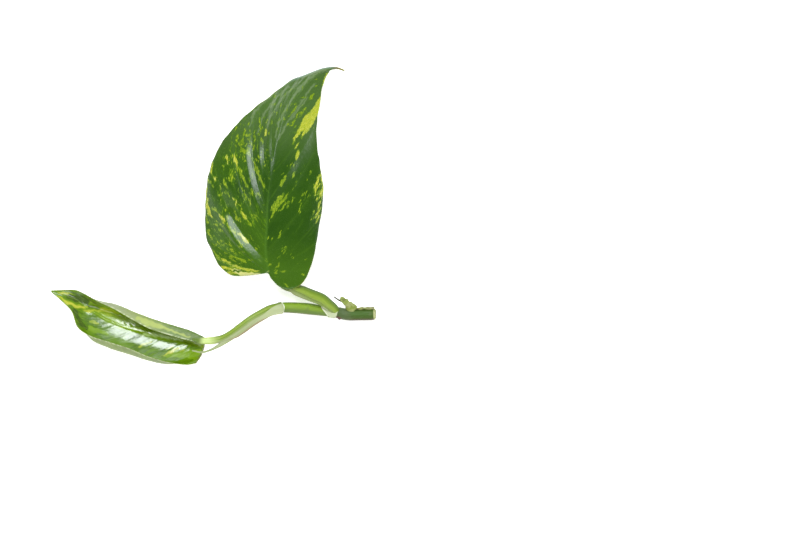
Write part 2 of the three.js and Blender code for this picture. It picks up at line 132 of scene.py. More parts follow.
# A sheath wing runs along this share of its petiole, to these angles at its top along it and at its node
LARGE_WING_SPAN = (0.12, 0.72)
SMALL_WING_SPAN = (0.0, 0.74)
LARGE_WING_TOP = (0.50, 0.50)
SMALL_WING_TOP = (0.85, 2.30)
WING_BOTTOM = -1.0
WING_THICKNESS = 0.45
WING_LIP = 0.22
WING_SINK = 0.1  # of its inner side into the petiole
LARGE_WING_TIP = [
    (36.2, -33.7, 10.6, 0.7, 0.7), (34.2, -32.9, 11.0, 0.8, 0.5), (32.0, -32.3, 11.3, 0.7, 0.4),
    (29.9, -31.6, 11.5, 0.35, 0.3),
]
SMALL_WING_TIP = [
    (9.0, -53.0, 7.0, 1.1, 0.8), (5.8, -55.0, 7.1, 1.1, 0.6), (2.6, -57.1, 7.6, 0.8, 0.5),
    (-0.8, -58.9, 8.8, 0.5, 0.4), (-4.6, -60.0, 10.4, 0.4, 0.35), (-9.0, -59.2, 11.4, 0.28, 0.25),
]
COLLAR_ANGLES = (-0.8, 2.25)
COLLAR_RIGHT_X = (51.9, 54.4)
COLLAR_LEFT_X = (50.7, 46.9)
COLLAR_THICKNESS = 0.35
COLLAR_LIFT = 0.12
# The pale triangle of the large sheath
TRIANGLE_CORNER = np.array([47.5, -40.5])
TRIANGLE_OUT = np.array([0.754, 0.656])
TRIANGLE_TOP = -40.4
DISC = [
    (30.7, -40.4, 4.3, 2.3, 2.3), (30.5, -40.4, 4.3, 2.6, 2.55), (30.2, -40.45, 4.35, 2.6, 2.55),
    (29.9, -40.5, 4.4, 2.2, 2.1),
]
DISC_ARCH = 2.2
OLD_STUB = [
    (61.3, -41.4, 4.0, 2.5, 1.5), (60.1, -40.1, 5.0, 2.1, 1.3), (58.7, -38.5, 6.0, 1.5, 1.0),
    (57.0, -37.1, 6.8, 1.15, 0.7), (55.7, -36.4, 7.2, 0.75, 0.45),
]
OLD_SLIVER = [
    (57.4, -38.0, 6.5, 0.5, 0.4), (55.2, -37.2, 7.0, 0.35, 0.35), (53.0, -35.7, 7.3, 0.3, 0.3),
]
OLD_EDGE = [
    (56.4, -36.3, 7.2), (58.2, -37.4, 6.7), (60.2, -38.6, 5.9), (62.6, -40.0, 4.9),
]
STUB_RAG = 0.16
FIBRE_COUNT = 16
# The old end is cut aslant: it reaches further at the bottom than at the top
CUT_REACH = (68.8, 71.0)
CUT_SLANT = 0.2
STRIP_ANGLES = (2.4, 3.3)
STRIP_X = (70.9, 57.6)
STRIP_RAG = 0.14
STRIP_THICKNESS = 0.3
STRIP_LIFT = 0.26
ROOT_NUB = [
    (55.3, -43.9, 3.0, 0.85, 0.7), (55.3, -44.9, 2.8, 0.85, 0.7), (55.3, -45.6, 2.6, 0.5, 0.45),
]
ROOT_SPOT = (55.0, -44.9, 3.4)

# Large blade: midrib and margins from the petiole to the tip
LARGE_MIDRIB = [
    (24.5, -25.0, 17.5), (23.5, -15.0, 19.0), (24.0, -4.5, 21.0), (24.5, 6.5, 22.0),
    (26.0, 18.5, 22.5), (28.5, 31.5, 21.0), (32.0, 43.5, 17.5), (38.0, 53.0, 12.5), (44.5, 60.5, 7.5),
    (50.5, 64.0, 3.2), (54.0, 64.7, 1.0), (57.6, 63.7, 0.0),
]
LARGE_LEFT = [
    (19.0, -25.5, 15.5), (13.0, -26.5, 12.5), (7.5, -26.0, 11.0), (3.0, -22.0, 10.0),
    (-0.5, -15.5, 9.0), (-3.0, -9.0, 9.0), (-3.4, 0.5, 8.5), (-3.0, 10.0, 9.0), (-1.4, 20.0, 10.0),
    (2.4, 29.0, 11.0), (8.5, 37.5, 11.5), (17.0, 46.0, 10.5), (27.5, 54.0, 8.5), (33.0, 58.5, 7.0),
    (38.0, 60.7, 6.0), (46.5, 64.2, 3.5), (53.5, 65.4, 1.1), (57.7, 64.0, 0.0),
]
LARGE_RIGHT = [
    (25.5, -27.5, 16.8), (29.0, -31.0, 15.8), (33.5, -32.5, 15.2), (38.5, -30.5, 15.0),
    (42.0, -25.5, 14.8), (44.5, -17.0, 14.8), (46.0, -8.5, 15.0), (47.5, 0.5, 15.5), (48.5, 8.5, 16.0),
    (47.5, 19.0, 17.0), (46.0, 29.0, 17.0), (45.5, 39.0, 15.0), (47.0, 49.0, 11.0), (48.0, 56.5, 7.0),
    (50.3, 62.5, 3.3), (51.5, 64.0, 2.2), (54.3, 64.5, 0.8), (57.5, 63.5, 0.0),
]
VEIN_FAN = 0.3
VEIN_FAN_MARGIN = 0.4
VEIN_SWEEP = 1.0
VEIN_COUNT = 14
VEIN_BOW = {"left": 0.18, "right": 0.04}
VEIN_SHIFT = {"left": 0.33, "right": 0.0}
BLADE_BULGE = {"left": 2.2, "right": 1.5}
BULGE_WIDTH = 40.0
MARGIN_WAVE = 0.2
MARGIN_REACH = 2.0
QUILT = {"left": 0.85, "right": 0.16}
QUILT_POWER = 1.3
RIPPLE = 0.085
# Deep veins of the lower half: phase, depth, and reach of the slope below and above each
DEEP_VEIN_TOP = 1.5
DEEP_VEINS = {"left": [(5.03, 1.5, 0.42, 0.35)], "right": []}
QUILT_HEIGHTS = {
    "left": [0.5, 0.5, 0.3, 0.03, 1.0, 0.65, 1.1, 1.1, 0.8, 1.0, 1.2, 1.2, 0.9, 0.6, 0.4],
    "right": [1.0, 0.6, 0.8, 0.7, 0.9, 0.7, 0.6, 0.5, 0.9, 1.3, 1.4, 1.4, 1.2, 1.0, 1.0],
}
LARGE_ROWS = 240
LARGE_STEPS = 90
MIDRIB_POINTS = 160
BLADE_THICKNESS = 0.46
EDGE_THICKNESS = 0.2
EDGE_WIDTH = 1.6

# Small blade, rows across it from the lower to the upper margin, from the petiole to the tip
SMALL_BLADE = [
    [(-7.4, -64.9, 6.8), (-5.2, -61.4, 4.8), (-4.2, -58.8, 4.2), (-3.8, -57.0, 4.6),
     (-3.2, -55.6, 5.3), (-3.6, -53.8, 6.4), (-4.9, -56.2, 7.3)],
    [seen(186, 364.8, 8.0), seen(188, 360, 5.0), (-10.6, -61.0, 3.4), (-10.1, -58.0, 2.3),
     (-9.5, -54.4, 2.0), seen(190.5, 331.2, 6.2), (-11.3, -54.7, 7.8)],
    [(-20.1, -64.3, 8.6), (-19.4, -65.0, 6.0), (-18.7, -61.3, 3.6), (-17.9, -57.2, 2.0),
     (-16.8, -52.2, 0.9), seen(172.3, 325.5, 6.4), (-19.5, -52.4, 8.0)],
    [(-28.2, -61.9, 9.4), (-27.7, -63.6, 6.0), (-27.0, -59.4, 3.1), (-26.0, -54.9, 1.5),
     (-24.9, -49.8, 0.6), seen(154.2, 319.8, 6.6), (-27.8, -49.7, 8.4)],
    [(-37.1, -58.2, 9.6), (-36.9, -60.7, 5.8), (-35.8, -56.4, 2.8), (-34.5, -51.8, 1.4),
     (-33.2, -46.8, 0.6), seen(135.3, 312.8, 6.7), (-35.6, -45.6, 8.6)],
    [(-45.9, -55.4, 9.0), (-45.7, -57.9, 5.5), (-44.6, -53.4, 2.7), (-43.1, -48.6, 1.4),
     (-41.6, -43.6, 0.9), seen(117.3, 305.2, 6.8), (-43.6, -40.9, 8.8)],
    [(-53.9, -52.8, 7.2), (-53.4, -54.1, 5.0), (-52.1, -49.8, 2.8), (-50.8, -45.4, 1.7),
     (-49.4, -41.0, 1.6), seen(100.6, 301.5, 6.7), seen(97.1, 301.2, 8.7)],
    [seen(77.5, 327, 5.2), seen(80, 320, 3.4), (-57.9, -43.7, 2.7), (-57.2, -41.4, 2.3),
     seen(85.1, 304, 2.7), seen(86, 298, 5.6), seen(84, 293.5, 8.0)],
    [seen(71.6, 311.5, 4.6), seen(72.5, 308, 4.1), (-61.5, -39.4, 3.8), (-61.2, -38.0, 3.6),
     (-60.9, -36.6, 3.9), seen(75.5, 294, 5.6), seen(75, 290, 7.2)],
    [seen(62, 301.5, 4.9), seen(62.5, 299.5, 4.8), (-66.1, -36.3, 4.8), (-65.9, -35.6, 4.8),
     seen(63.5, 295, 4.9), seen(64, 292.3, 5.5), seen(64.5, 289.8, 6.3)],
    [seen(51.3, 292.4, 5.0), seen(51.2, 292, 5.0), seen(51.1, 291.6, 5.05), (-71.2, -33.4, 5.05),
     seen(51, 291.2, 5.1), seen(51, 290.8, 5.15), seen(51, 290.4, 5.2)],
]
SMALL_ROWS = 170
SMALL_STEPS = 110
SMALL_RIB = 0.52  # its share of the way across

# Marks on the blades: each is a stroke through points x, y, radius, in millimetres or as read off the photo
GOLD = [
    [(*seen(319.8, 98, LARGE_LEAF_HEIGHT)[:2], 0.50), (46.0, 47.7, 1.10), (44.4, 44.6, 1.95),
     (42.2, 41.6, 2.15), (40.4, 39.4, 1.50)],
    [(41.2, 40.8, 0.90), (39.0, 38.0, 0.90), (37.4, 35.2, 0.60), (36.2, 32.8, 0.35)],
    [(42.4, 39.7, 0.75), (40.6, 37.0, 0.70), (39.2, 34.8, 0.40)],
    [(39.8, 39.8, 0.45), (38.2, 37.4, 0.45), (36.0, 33.6, 0.35)],
    [(43.6, 40.4, 0.60), (41.4, 36.8, 0.40)],
    [(47.6, 18.8, 0.25), (48.1, 14.0, 0.40), (48.2, 9.0, 0.40)],
    [(46.6, 16.6, 0.40), (45.6, 14.0, 0.55), (44.4, 11.6, 0.35)],
    [(46.8, 13.2, 0.35), (45.4, 10.6, 0.50), (44.6, 8.6, 0.30)],
    [(47.2, 9.6, 0.40), (45.8, 7.0, 0.35)],
    [(47.2, 6.0, 0.40), (46.2, 3.4, 0.30)],
    [(47.0, 2.4, 0.35), (45.6, 0.0, 0.40), (43.6, -1.4, 0.25)],
    [(46.6, -1.0, 0.30), (45.4, -3.0, 0.25)],
    [(10.0, 6.8, 0.42), (10.6, 5.1, 0.45)],
    [(13.4, 0.9, 0.50), (14.2, -0.8, 0.48)],
    [(4.0, -0.9, 0.60), (4.9, -2.6, 0.55)],
    [(8.0, -25.2, 0.60), (12.0, -25.4, 0.55), (17.0, -25.0, 0.40)],
    [(9.6, -22.6, 0.40), (14.0, -23.6, 0.50), (19.6, -24.4, 0.35)],
    [(8.0, -21.6, 0.30), (12.0, -22.2, 0.25)],
] + seen_marks(LARGE_LEAF_HEIGHT, [
    [(326.5, 73, 0.6), (324.5, 80, 0.8), (322, 92, 0.9)], [(212.3, 163, 0.9), (211.6, 171.5, 1.2)],
    [(206.4, 187, 1.1), (206.8, 205, 1.4), (209.5, 213, 1.7)], [(226.9, 156.5, 1), (228.5, 162, 1.3)],
    [(235, 158.7, 1.5), (237.5, 163.5, 1.4)], [(240.7, 235.6, 1.6), (245.5, 239.4, 2.1)],
    [(223.5, 259.5, 0.9), (228.3, 262.4, 1.2)], [(225.4, 268, 1.8), (230.5, 269, 1.6)],
    [(296.8, 146.2, 1.2)], [(297.3, 152.5, 0.9), (297.8, 157.5, 1.1)],
    [(266.4, 131, 1.2), (266.6, 133.5, 1.1)], [(215, 179.2, 1.1)],
])
LIME = [
    [(38.6, 38.0, 0.30), (36.6, 34.4, 0.35), (35.2, 31.2, 0.30)],
    [(31.9, 7.6, 0.55), (30.0, 5.2, 0.60), (27.6, 1.6, 0.35)],
    [(30.2, 8.0, 0.60), (28.6, 6.0, 0.70), (26.8, 2.4, 0.45)],
    [(33.2, 5.6, 0.35), (31.4, 3.8, 0.40), (29.3, 1.9, 0.25)],
    [(28.4, 4.4, 0.45), (26.8, 1.4, 0.45), (25.4, -2.6, 0.25)],
    [(27.0, 5.4, 0.30), (25.8, 2.2, 0.30)],
    [(31.7, 16.2, 0.42), (30.7, 13.8, 0.50)],
] + seen_marks(LARGE_LEAF_HEIGHT, [
    [(294.3, 198.3, 0.6), (291.4, 201, 0.7)], [(288.5, 206.9, 0.8)], [(291, 165, 0.8)],
    [(294.3, 173, 0.8), (294.4, 176, 1.1)], [(306.2, 193, 0.8)], [(303.4, 194.9, 0.8)],
    [(300, 209.2, 0.9), (299.6, 210.6, 1)], [(281, 233.5, 1), (279.8, 237, 1)], [(282.3, 249, 0.8)],
    [(285.7, 249.4, 0.6)], [(269.4, 265.2, 1.1)], [(278.4, 264, 0.6), (277.5, 267.3, 0.8)],
    [(276.1, 271.9, 0.8)], [(306.2, 260, 0.8)], [(311, 172.9, 0.8)], [(304.8, 166.2, 0.6)],
    [(312.5, 94.5, 0.9), (311.5, 97, 1.2)], [(315.2, 86, 0.7)], [(316.3, 79, 0.6)],
    [(295.7, 107.2, 0.8), (292.5, 112, 0.8)], [(304.4, 109.5, 1.1)], [(301, 113.5, 0.8)],
    [(288.7, 116.4, 0.8)], [(294, 122.5, 0.9), (291.5, 125.5, 0.7)], [(296, 118, 0.8)],
    [(281, 105.5, 0.7)], [(275, 104.4, 0.6)], [(277, 113, 0.6)], [(259.2, 118, 0.7), (260.2, 129, 0.8)],
    [(255, 132.5, 0.6), (255.2, 142, 0.8)], [(245.4, 130, 0.8), (244, 135, 0.9)],
    [(238.3, 137, 0.9), (236.4, 140.5, 0.9)], [(243, 140.3, 1), (243.6, 143.3, 1)],
    [(269.7, 133.4, 0.7)], [(261.6, 140.5, 0.9)], [(249, 136, 0.6)], [(240, 143.5, 0.9)],
    [(242, 150.5, 1), (249, 153, 1.1)], [(255, 146.5, 0.7), (254, 151, 0.8)], [(249, 149, 0.7)],
    [(237.5, 163.5, 1.2), (241, 172.5, 1.2), (244.4, 179.5, 1.2), (248, 186, 0.8)],
    [(250.7, 156.5, 0.7), (255, 163.5, 0.8), (259.2, 174.5, 1.3), (264.5, 186, 0.8)],
    [(230.2, 177.8, 0.9), (230.8, 180.8, 0.9)], [(224, 180, 0.9), (226.9, 186.8, 1.3)],
    [(220.6, 185, 0.9), (221.2, 188.2, 0.9)], [(208.2, 180, 0.9), (213, 185, 1.1)],
    [(228.7, 192.5, 0.7), (229.8, 197.3, 0.8)], [(238.8, 189.5, 0.7), (239.8, 192, 0.7)],
    [(235.9, 213.6, 0.8), (238.4, 219.3, 0.9)], [(248, 219.5, 0.8), (250.7, 225, 1.1)],
    [(249.3, 198.3, 0.7), (251.2, 204, 0.9)], [(252.2, 193.5, 0.9)], [(259.8, 195.4, 1)],
    [(256, 217.4, 0.8)], [(213.8, 208.8, 1.2), (217, 210.4, 1.3)],
    [(206.8, 217, 0.8), (207.3, 221.5, 0.8)], [(208.3, 230.8, 0.7), (210.2, 236, 0.8)],
    [(228.3, 217.4, 1.1)], [(216.8, 225, 1.1)], [(220.6, 224, 0.8)],
    [(229.2, 227, 1.4), (235.9, 233.7, 1.3)], [(239.7, 241.3, 0.9), (242.2, 245.2, 0.9)],
    [(251.2, 236.5, 0.5), (253.1, 239.4, 0.6)], [(218.7, 242.3, 0.8)], [(220, 248.5, 0.8)],
    [(232, 249.5, 0.8)], [(232, 256.6, 1)], [(237, 257.6, 1), (244.5, 260.5, 1.2)],
    [(213.8, 250.5, 0.8), (218.8, 259.5, 1)], [(232, 266.5, 1.2), (236, 268, 1.4)],
    [(225, 262, 1), (233, 265.5, 1)], [(223, 157.8, 0.6)], [(232, 170, 0.7), (233, 174, 0.7)],
    [(245, 191, 0.6), (247.5, 197, 0.7)], [(240, 205, 0.6), (242, 209, 0.7)],
    [(226, 205, 0.6), (228, 210, 0.7)], [(233.5, 222, 0.7), (235, 225, 0.7)], [(283.3, 271.4, 1.02)],
    [(302.4, 274.3, 0.9)], [(286, 284.3, 0.9), (287.3, 286.3, 0.9)],
])
SPECK_RADIUS = (0.10, 0.34)
SPECKS = [
    (16.0, 33.0, 4.5, 70), (10.5, 29.0, 3.5, 25), (9.5, 22.0, 4.0, 45), (20.0, 24.0, 4.0, 30),
    (13.0, 12.0, 4.5, 55), (6.0, 2.0, 4.5, 45), (17.0, 0.0, 4.0, 30), (1.0, -6.0, 3.0, 25),
    (8.0, -14.0, 4.5, 40), (16.0, -15.0, 4.0, 25), (10.0, -22.0, 4.0, 40), (28.0, 44.0, 4.0, 22),
    (38.0, 41.0, 3.0, 18), (36.0, 50.0, 4.0, 16), (34.0, 20.0, 4.0, 16), (45.5, 10.0, 1.8, 24),
    (45.5, 0.0, 1.8, 22), (38.0, 4.0, 4.0, 14), (31.0, -12.0, 4.0, 14), (31.0, -25.0, 4.0, 12),
]
# Pale cream marks. The first stroke, along the lower edge of the left lobe, is a painted highlight over its
# own pale yellow margin
PALE_AND_SHEEN = [
    [(10.5, -25.0, 0.45), (13.5, -25.8, 0.85), (17.0, -25.7, 0.75), (20.5, -25.3, 0.35)],
    [(8.0, -23.4, 0.25), (12.0, -24.0, 0.30)],
    [(12.6, -9.1, 0.40), (14.2, -10.4, 0.62)],
    [(4.3, -1.4, 0.35), (4.6, -2.2, 0.35)],
] + seen_marks(LARGE_LEAF_HEIGHT, [[(215, 179.2, 0.68)]])
FACE_GOLD = [
    [(-68.0, -35.6, 0.20), (-63.5, -38.7, 0.70), (-60.6, -39.8, 0.85), (-55.5, -40.4, 0.30)],
    [(-67.6, -33.8, 0.35), (-65.0, -34.0, 0.50), (-62.4, -34.5, 0.20)],
    [(-57.1, -41.8, 0.45), (-54.0, -42.1, 0.45), (-51.2, -42.0, 0.30)],
    [(-50.6, -42.0, 0.60), (-48.3, -41.2, 0.85), (-45.0, -41.8, 1.10), (-41.6, -42.6, 0.40)],
    [(-49.0, -43.2, 0.30), (-45.0, -43.8, 0.35)],
    [(-41.7, -49.4, 0.25), (-39.5, -49.2, 0.30), (-37.0, -49.0, 0.20)],
    [(-32.7, -57.6, 0.30), (-29.8, -56.5, 0.35), (-27.6, -55.6, 0.20)],
    [(-21.6, -61.6, 0.30), (-18.4, -59.9, 0.80), (-15.4, -58.3, 0.45)],
    [(-20.6, -58.8, 0.25), (-17.6, -57.6, 0.30)],
    [(-14.9, -60.0, 0.25), (-12.6, -58.8, 0.20)],
    [(-54.0, -46.6, 0.20), (-50.6, -47.6, 0.20)],
]
# Darker marks on the small leaf's face: painted shade along the creases and under the curled upper margin,
# and darker green near the tip
FACE_DARK_AND_SHADE = [
    [(-61.4, -40.8, 0.50), (-60.0, -44.0, 0.80), (-58.4, -47.4, 0.80), (-56.0, -49.6, 0.40)],
    [(-63.2, -35.6, 1.10), (-59.7, -36.7, 1.40), (-55.5, -38.2, 0.90)],
    [(-62.6, -33.3, 0.30), (-56.7, -36.0, 0.45), (-50.1, -39.2, 0.45), (-43.0, -42.4, 0.30)],
    [(-54.9, -39.8, 0.60), (-50.9, -40.3, 0.55)],
    [(-42.2, -43.8, 0.70), (-39.5, -46.2, 0.80)],
    [(-13.7, -54.9, 0.50), (-9.5, -56.5, 0.50)],
    [(-37.4, -53.7, 0.12), (-33.2, -52.0, 0.30), (-29.4, -50.4, 0.12)],
    [(-27.0, -57.8, 0.10), (-25.0, -57.0, 0.20), (-23.2, -56.1, 0.10)],
    [(-45.9, -47.4, 0.12), (-42.6, -46.0, 0.20)],
    [(-36.8, -47.4, 0.15), (-34.7, -46.5, 0.20)],
]
FACE_FRESH = [
    [(-56.7, -38.6, 0.30), (-53.6, -38.0, 0.75), (-50.4, -39.0, 0.30)],
    [(-48.3, -44.0, 0.50), (-45.4, -44.4, 0.45)],
    [(-54.5, -49.6, 0.90), (-50.9, -50.7, 1.10), (-46.8, -52.0, 0.70)],
    [(-36.0, -50.4, 0.50), (-31.0, -49.4, 0.40)],
    [(-20.0, -61.4, 1.20), (-13.5, -60.8, 1.60), (-8.3, -61.8, 2.00), (-6.2, -59.4, 1.00)],
]
# Painted sheen: pale grey-green streaks along the veins of the upper large blade, where light catches its
# creases
PAINTED_SHEEN_STREAKS = [
    [(27.7, 34.1, 0.25), (29.2, 39.8, 0.40), (32.5, 46.9, 0.50), (37.2, 54.6, 0.50), (41.9, 59.8, 0.45),
     (46.7, 63.1, 0.30)],
    [(29.0, 32.5, 0.20), (31.8, 38.5, 0.35), (38.0, 46.5, 0.35), (41.0, 51.0, 0.25)],
    [(16.3, 38.9, 0.30), (18.1, 44.7, 0.40), (23.0, 50.4, 0.40), (27.7, 53.6, 0.30)],
    [(20.0, 36.0, 0.20), (22.0, 43.0, 0.35), (27.0, 50.0, 0.35), (33.0, 56.0, 0.30)],
    [(24.0, 38.0, 0.20), (26.0, 44.0, 0.30), (31.0, 51.5, 0.35), (38.0, 58.5, 0.30)],
    [(40.0, 61.0, 0.60), (46.0, 63.6, 0.60), (51.0, 64.6, 0.40)],
    [(34.0, 42.0, 0.20), (39.0, 50.0, 0.30), (44.0, 57.0, 0.30)],
]
# Painted highlight: whitish gloss on the face just under the curled upper margin, where the margin shades
# it
PAINTED_FOLD_HIGHLIGHT = [
    [(-31.0, -52.5, 0.5), (-27.0, -52.3, 1.0), (-22.0, -53.0, 1.2), (-17.0, -53.8, 0.8),
     (-14.0, -54.8, 0.3)],
    [(-36.9, -45.9, 0.5), (-35.0, -47.4, 0.4)],
]
BASE_DOT = [[(-3.9, -54.6, 0.25)]]
FLAP_LIME = [
    [(-33.0, -45.2, 0.80), (-29.0, -46.8, 1.50), (-24.0, -48.6, 1.30), (-19.0, -50.2, 0.60)],
    [(-21.5, -49.6, 0.50), (-16.2, -51.2, 0.70), (-10.5, -53.3, 0.40)],
    [(-34.4, -46.9, 0.25), (-31.0, -48.6, 0.35), (-27.2, -50.1, 0.30)],
    [(*seen(120, 343.5, FLAP_HEIGHT)[:2], 0.25), (-37.9, -57.0, 0.35)],
]
STROKE_SOFT = 0.9
STROKE_STRETCH = 2.6
STROKE_WARP = 0.3


def unit(vectors):
    return vectors / np.maximum(np.linalg.norm(vectors, axis=-1, keepdims=True), 1e-12)


def spline(rows):
    """A smooth curve through rows that start with x, y, z, by share of its length from 0 to 1."""
    rows = np.array(rows, float)
    last = len(rows) - 1
    steps = np.linalg.norm(np.diff(rows[:, :3], axis=0), axis=1)
    knots = np.concatenate([[0.0], np.cumsum(np.maximum(steps, MERGE))])
    before = np.maximum(np.arange(last + 1) - 1, 0)
    after = np.minimum(np.arange(last + 1) + 1, last)
    slopes = (rows[after] - rows[before]) / (knots[after] - knots[before])[:, None]

    def at(share):
        where = np.clip(np.asarray(share, float), 0, 1) * knots[-1]
        i = np.clip(np.searchsorted(knots, where, side="left") - 1, 0, last - 1)
        h = (knots[i + 1] - knots[i])[..., None]
        t = (where - knots[i])[..., None] / h
        t2, t3 = t**2, t**3
        return (
            (2 * t3 - 3 * t2 + 1) * rows[i]
            + (t3 - 2 * t2 + t) * h * slopes[i]
            + (3 * t2 - 2 * t3) * rows[i + 1]
            + (t3 - t2) * h * slopes[i + 1]
        )

    return at


def sections(rows, shares):
    """The row, centre and two axes of a stalk's section at each share of its length."""
    curve = spline(rows)
    row = curve(shares)
    ahead, behind = curve(shares + TANGENT_STEP), curve(shares - TANGENT_STEP)
    tangent = unit((ahead - behind)[:, :3])
    across = unit(np.cross(UP, tangent))
    return row, row[:, :3], across, np.cross(tangent, across)


def smooth(value, low, high):
    t = np.clip((value - low) / (high - low), 0, 1)
    return t * t * (3 - 2 * t)


def off_ridge(phase):
    """0 on a ridge and 1 halfway between two, where a vein runs."""
    return np.abs(2 * (phase % 1) - 1)


def wobble(points, wavelength, seed, waves=8):
    """Smooth seeded noise of about -1 to 1."""
    draw = np.random.default_rng(seed)
    directions = unit(draw.normal(size=(waves, 3)))
    lengths = wavelength * draw.uniform(0.6, 1.6, waves)
    phases = draw.uniform(0, 2 * np.pi, waves)
    waves_there = points @ directions.T * (2 * np.pi / lengths) + phases
    return np.sin(waves_there).sum(axis=-1) / math.sqrt(waves)


class Shape:
    """Points, faces and named marks, each with a number or a vector per point."""

    def __init__(self, points, faces, marks):
        self.points = np.asarray(points, float).reshape(-1, 3)
        self.faces = faces
        self.marks = marks

    def __add__(self, other):
        shift = len(self.points)
        faces = self.faces + [[v + shift for v in face] for face in other.faces]
        marks = {}
        for name in {**self.marks, **other.marks}:
            parts = []
            for shape in (self, other):
                known = self.marks.get(name, other.marks.get(name))
                blank = np.zeros((len(shape.points),) + np.shape(known)[1:])
                parts.append(np.asarray(shape.marks.get(name, blank), float))
            marks[name] = np.concatenate(parts)
        return Shape(np.concatenate([self.points, other.points]), faces, marks)


def ring_faces(rings, sides, closed=True):
    faces = []
    for r in range(rings):
        for k in range(sides if closed else sides - 1):
            a, b = r * sides + k, r * sides + (k + 1) % sides
            faces.append([a, b, b + sides, a + sides])
    return faces


def tube(rows, rings, sides, span=(0.0, 1.0), swell=None, ends=((), ())):
    """A stalk of oval section. "ends" gives the inner rings of each end as (share of radius, outward)."""
    shares = np.linspace(*span, rings + 1)
    row, centre, across, up = sections(rows, shares)
    angle = 2 * np.pi * np.arange(sides) / sides
    factor = np.ones((len(shares), sides))
    if swell is not None:
        factor = factor * swell(angle[None, :], shares[:, None])
    side = across[:, None] * (row[:, 3, None] * factor * np.cos(angle))[..., None]
    rise = up[:, None] * (row[:, 4, None] * factor * np.sin(angle))[..., None]
    loops = list(centre[:, None] + side + rise)
    outward = -unit(centre[1] - centre[0]), unit(centre[-1] - centre[-2])
    for at_end in (0, 1):
        rim = loops[-1] if at_end else loops[0]
        middle = centre[-1] if at_end else centre[0]
        for share, out in ends[at_end] or ((0.6, 0.0),):
            loop = middle + (rim - middle) * share + outward[at_end] * out
            loops = loops + [loop] if at_end else [loop] + loops
    first, last = len(ends[0] or (1,)), len(ends[1] or (1,))
    points = np.array(loops)
    count = len(points)
    faces = ring_faces(count - 1, sides)
    tail = [points[0].mean(axis=0), points[-1].mean(axis=0)]
    for k in range(sides):
        after = (k + 1) % sides
        faces.append([after, k, count * sides])
        faces.append([(count - 1) * sides + k, (count - 1) * sides + after, count * sides + 1])
    along = np.concatenate([[span[0]] * first, shares, [span[1]] * last])
    cut = np.concatenate([np.ones(first), np.zeros(len(shares)), np.ones(last)])
    spread = np.ones(sides)
    marks = {
        "lateral": np.concatenate([np.outer(np.ones(count), np.cos(angle)).ravel(), [0, 0]]),
        "height": np.concatenate([np.outer(np.ones(count), np.sin(angle)).ravel(), [0, 0]]),
        "along": np.concatenate([np.outer(along, spread).ravel(), span]),
        "cut": np.concatenate([np.outer(cut, spread).ravel(), [1, 1]]),
    }
    return Shape(np.concatenate([points.reshape(-1, 3), tail]), faces, marks)


def plate(grid, marks, thickness, groove=0.0, rib=0.0):
    """A sheet round a mid-surface given as a grid. The upper side sinks by "groove" and the under side
    stands out by "rib"."""
    rows, columns = grid.shape[:2]
    flat = grid.reshape(-1, 3)
    keys = np.round(flat / MERGE).astype(np.int64)
    _, first, index = np.unique(keys, axis=0, return_index=True, return_inverse=True)
    index = index.reshape(rows, columns)
    middle = flat[first]
    corners = np.stack(
        [index[:-1, :-1], index[:-1, 1:], index[1:, 1:], index[1:, :-1]], axis=-1
    ).reshape(-1, 4)
    a, b, c, d = (middle[corners[:, k]] for k in range(4))
    push = np.cross(c - a, d - b)
    if push[:, 2].sum() < 0:
        corners = corners[:, ::-1]
        push = -push
    normals = np.zeros_like(middle)
    for k in range(4):
        np.add.at(normals, corners[:, k], push)
    normals = unit(normals)

    def spread(value):
        wide = np.broadcast_to(value, (rows, columns))
        return wide.reshape(-1)[first][:, None]

    half = spread(thickness) / 2
    top = middle + normals * (half - spread(groove))
    under = middle - normals * (half + spread(rib))
    faces, edges = [], {}
    for face in corners.tolist():
        face = [v for k, v in enumerate(face) if v != face[k - 1]]
        if len(set(face)) < 3 or len(set(face)) < len(face):
            continue
        faces.append(face)
        for k, v in enumerate(face):
            edges[(face[k - 1], v)] = True
    count = len(middle)
    rims = [[b, a, a + count, b + count] for a, b in edges if (b, a) not in edges]
    backs = [[v + count for v in reversed(face)] for face in faces]
    both = {}
    for name, value in marks.items():
        value = np.asarray(value, float)
        value = value.reshape((rows * columns,) + value.shape[2:])[first]
        both[name] = np.concatenate([value, value])
    both["under"] = np.concatenate([np.zeros(count), np.ones(count)])
    return Shape(np.concatenate([top, under]), faces + backs + rims, both)


def strokes(grid, direction, marks, soft=STROKE_SOFT, shrink=0.0):
    """1 inside the marks, 0 outside and 0.5 on their edge. A mark reaches further along the veins."""
    plan = grid[..., :2] + STROKE_WARP * np.stack([wobble(grid, 2.6, 11), wobble(grid, 2.6, 12)], axis=-1)
    best = np.full(grid.shape[:2], -1e9)
    for mark in marks:
        ends = mark[1:] or mark
        for start, end in zip(mark, ends):
            start, end = np.array(start), np.array(end)
            line = end[:2] - start[:2]
            away = plan - start[:2]
            share = np.clip(away @ line / max(line @ line, 1e-9), 0, 1)
            off = away - share[..., None] * line
            radius = start[2] + share * (end[2] - start[2])
            with_vein = (off * direction).sum(axis=-1)
            beside = np.linalg.norm(off - with_vein[..., None] * direction, axis=-1)
            distance = np.hypot(with_vein / STROKE_STRETCH, beside)
            best = np.maximum(best, (radius - shrink - distance) / soft + 0.5)
    return np.clip(best, 0, 1)


def specks(clusters, radius, seed):
    """Seeded tiny marks round given places: x, y, spread and count."""
    draw = np.random.default_rng(seed)
    marks = []
    for x, y, spread, count in clusters:
        places = draw.normal((x, y), spread, (count, 2))
        sizes = radius[0] + (radius[1] - radius[0]) * draw.uniform(0, 1, count) ** 2
        marks += [[(*place, size)] for place, size in zip(places, sizes)]
    return marks


def blade_thickness(edge):
    return EDGE_THICKNESS + (BLADE_THICKNESS - EDGE_THICKNESS) * smooth(edge, 0, EDGE_WIDTH)


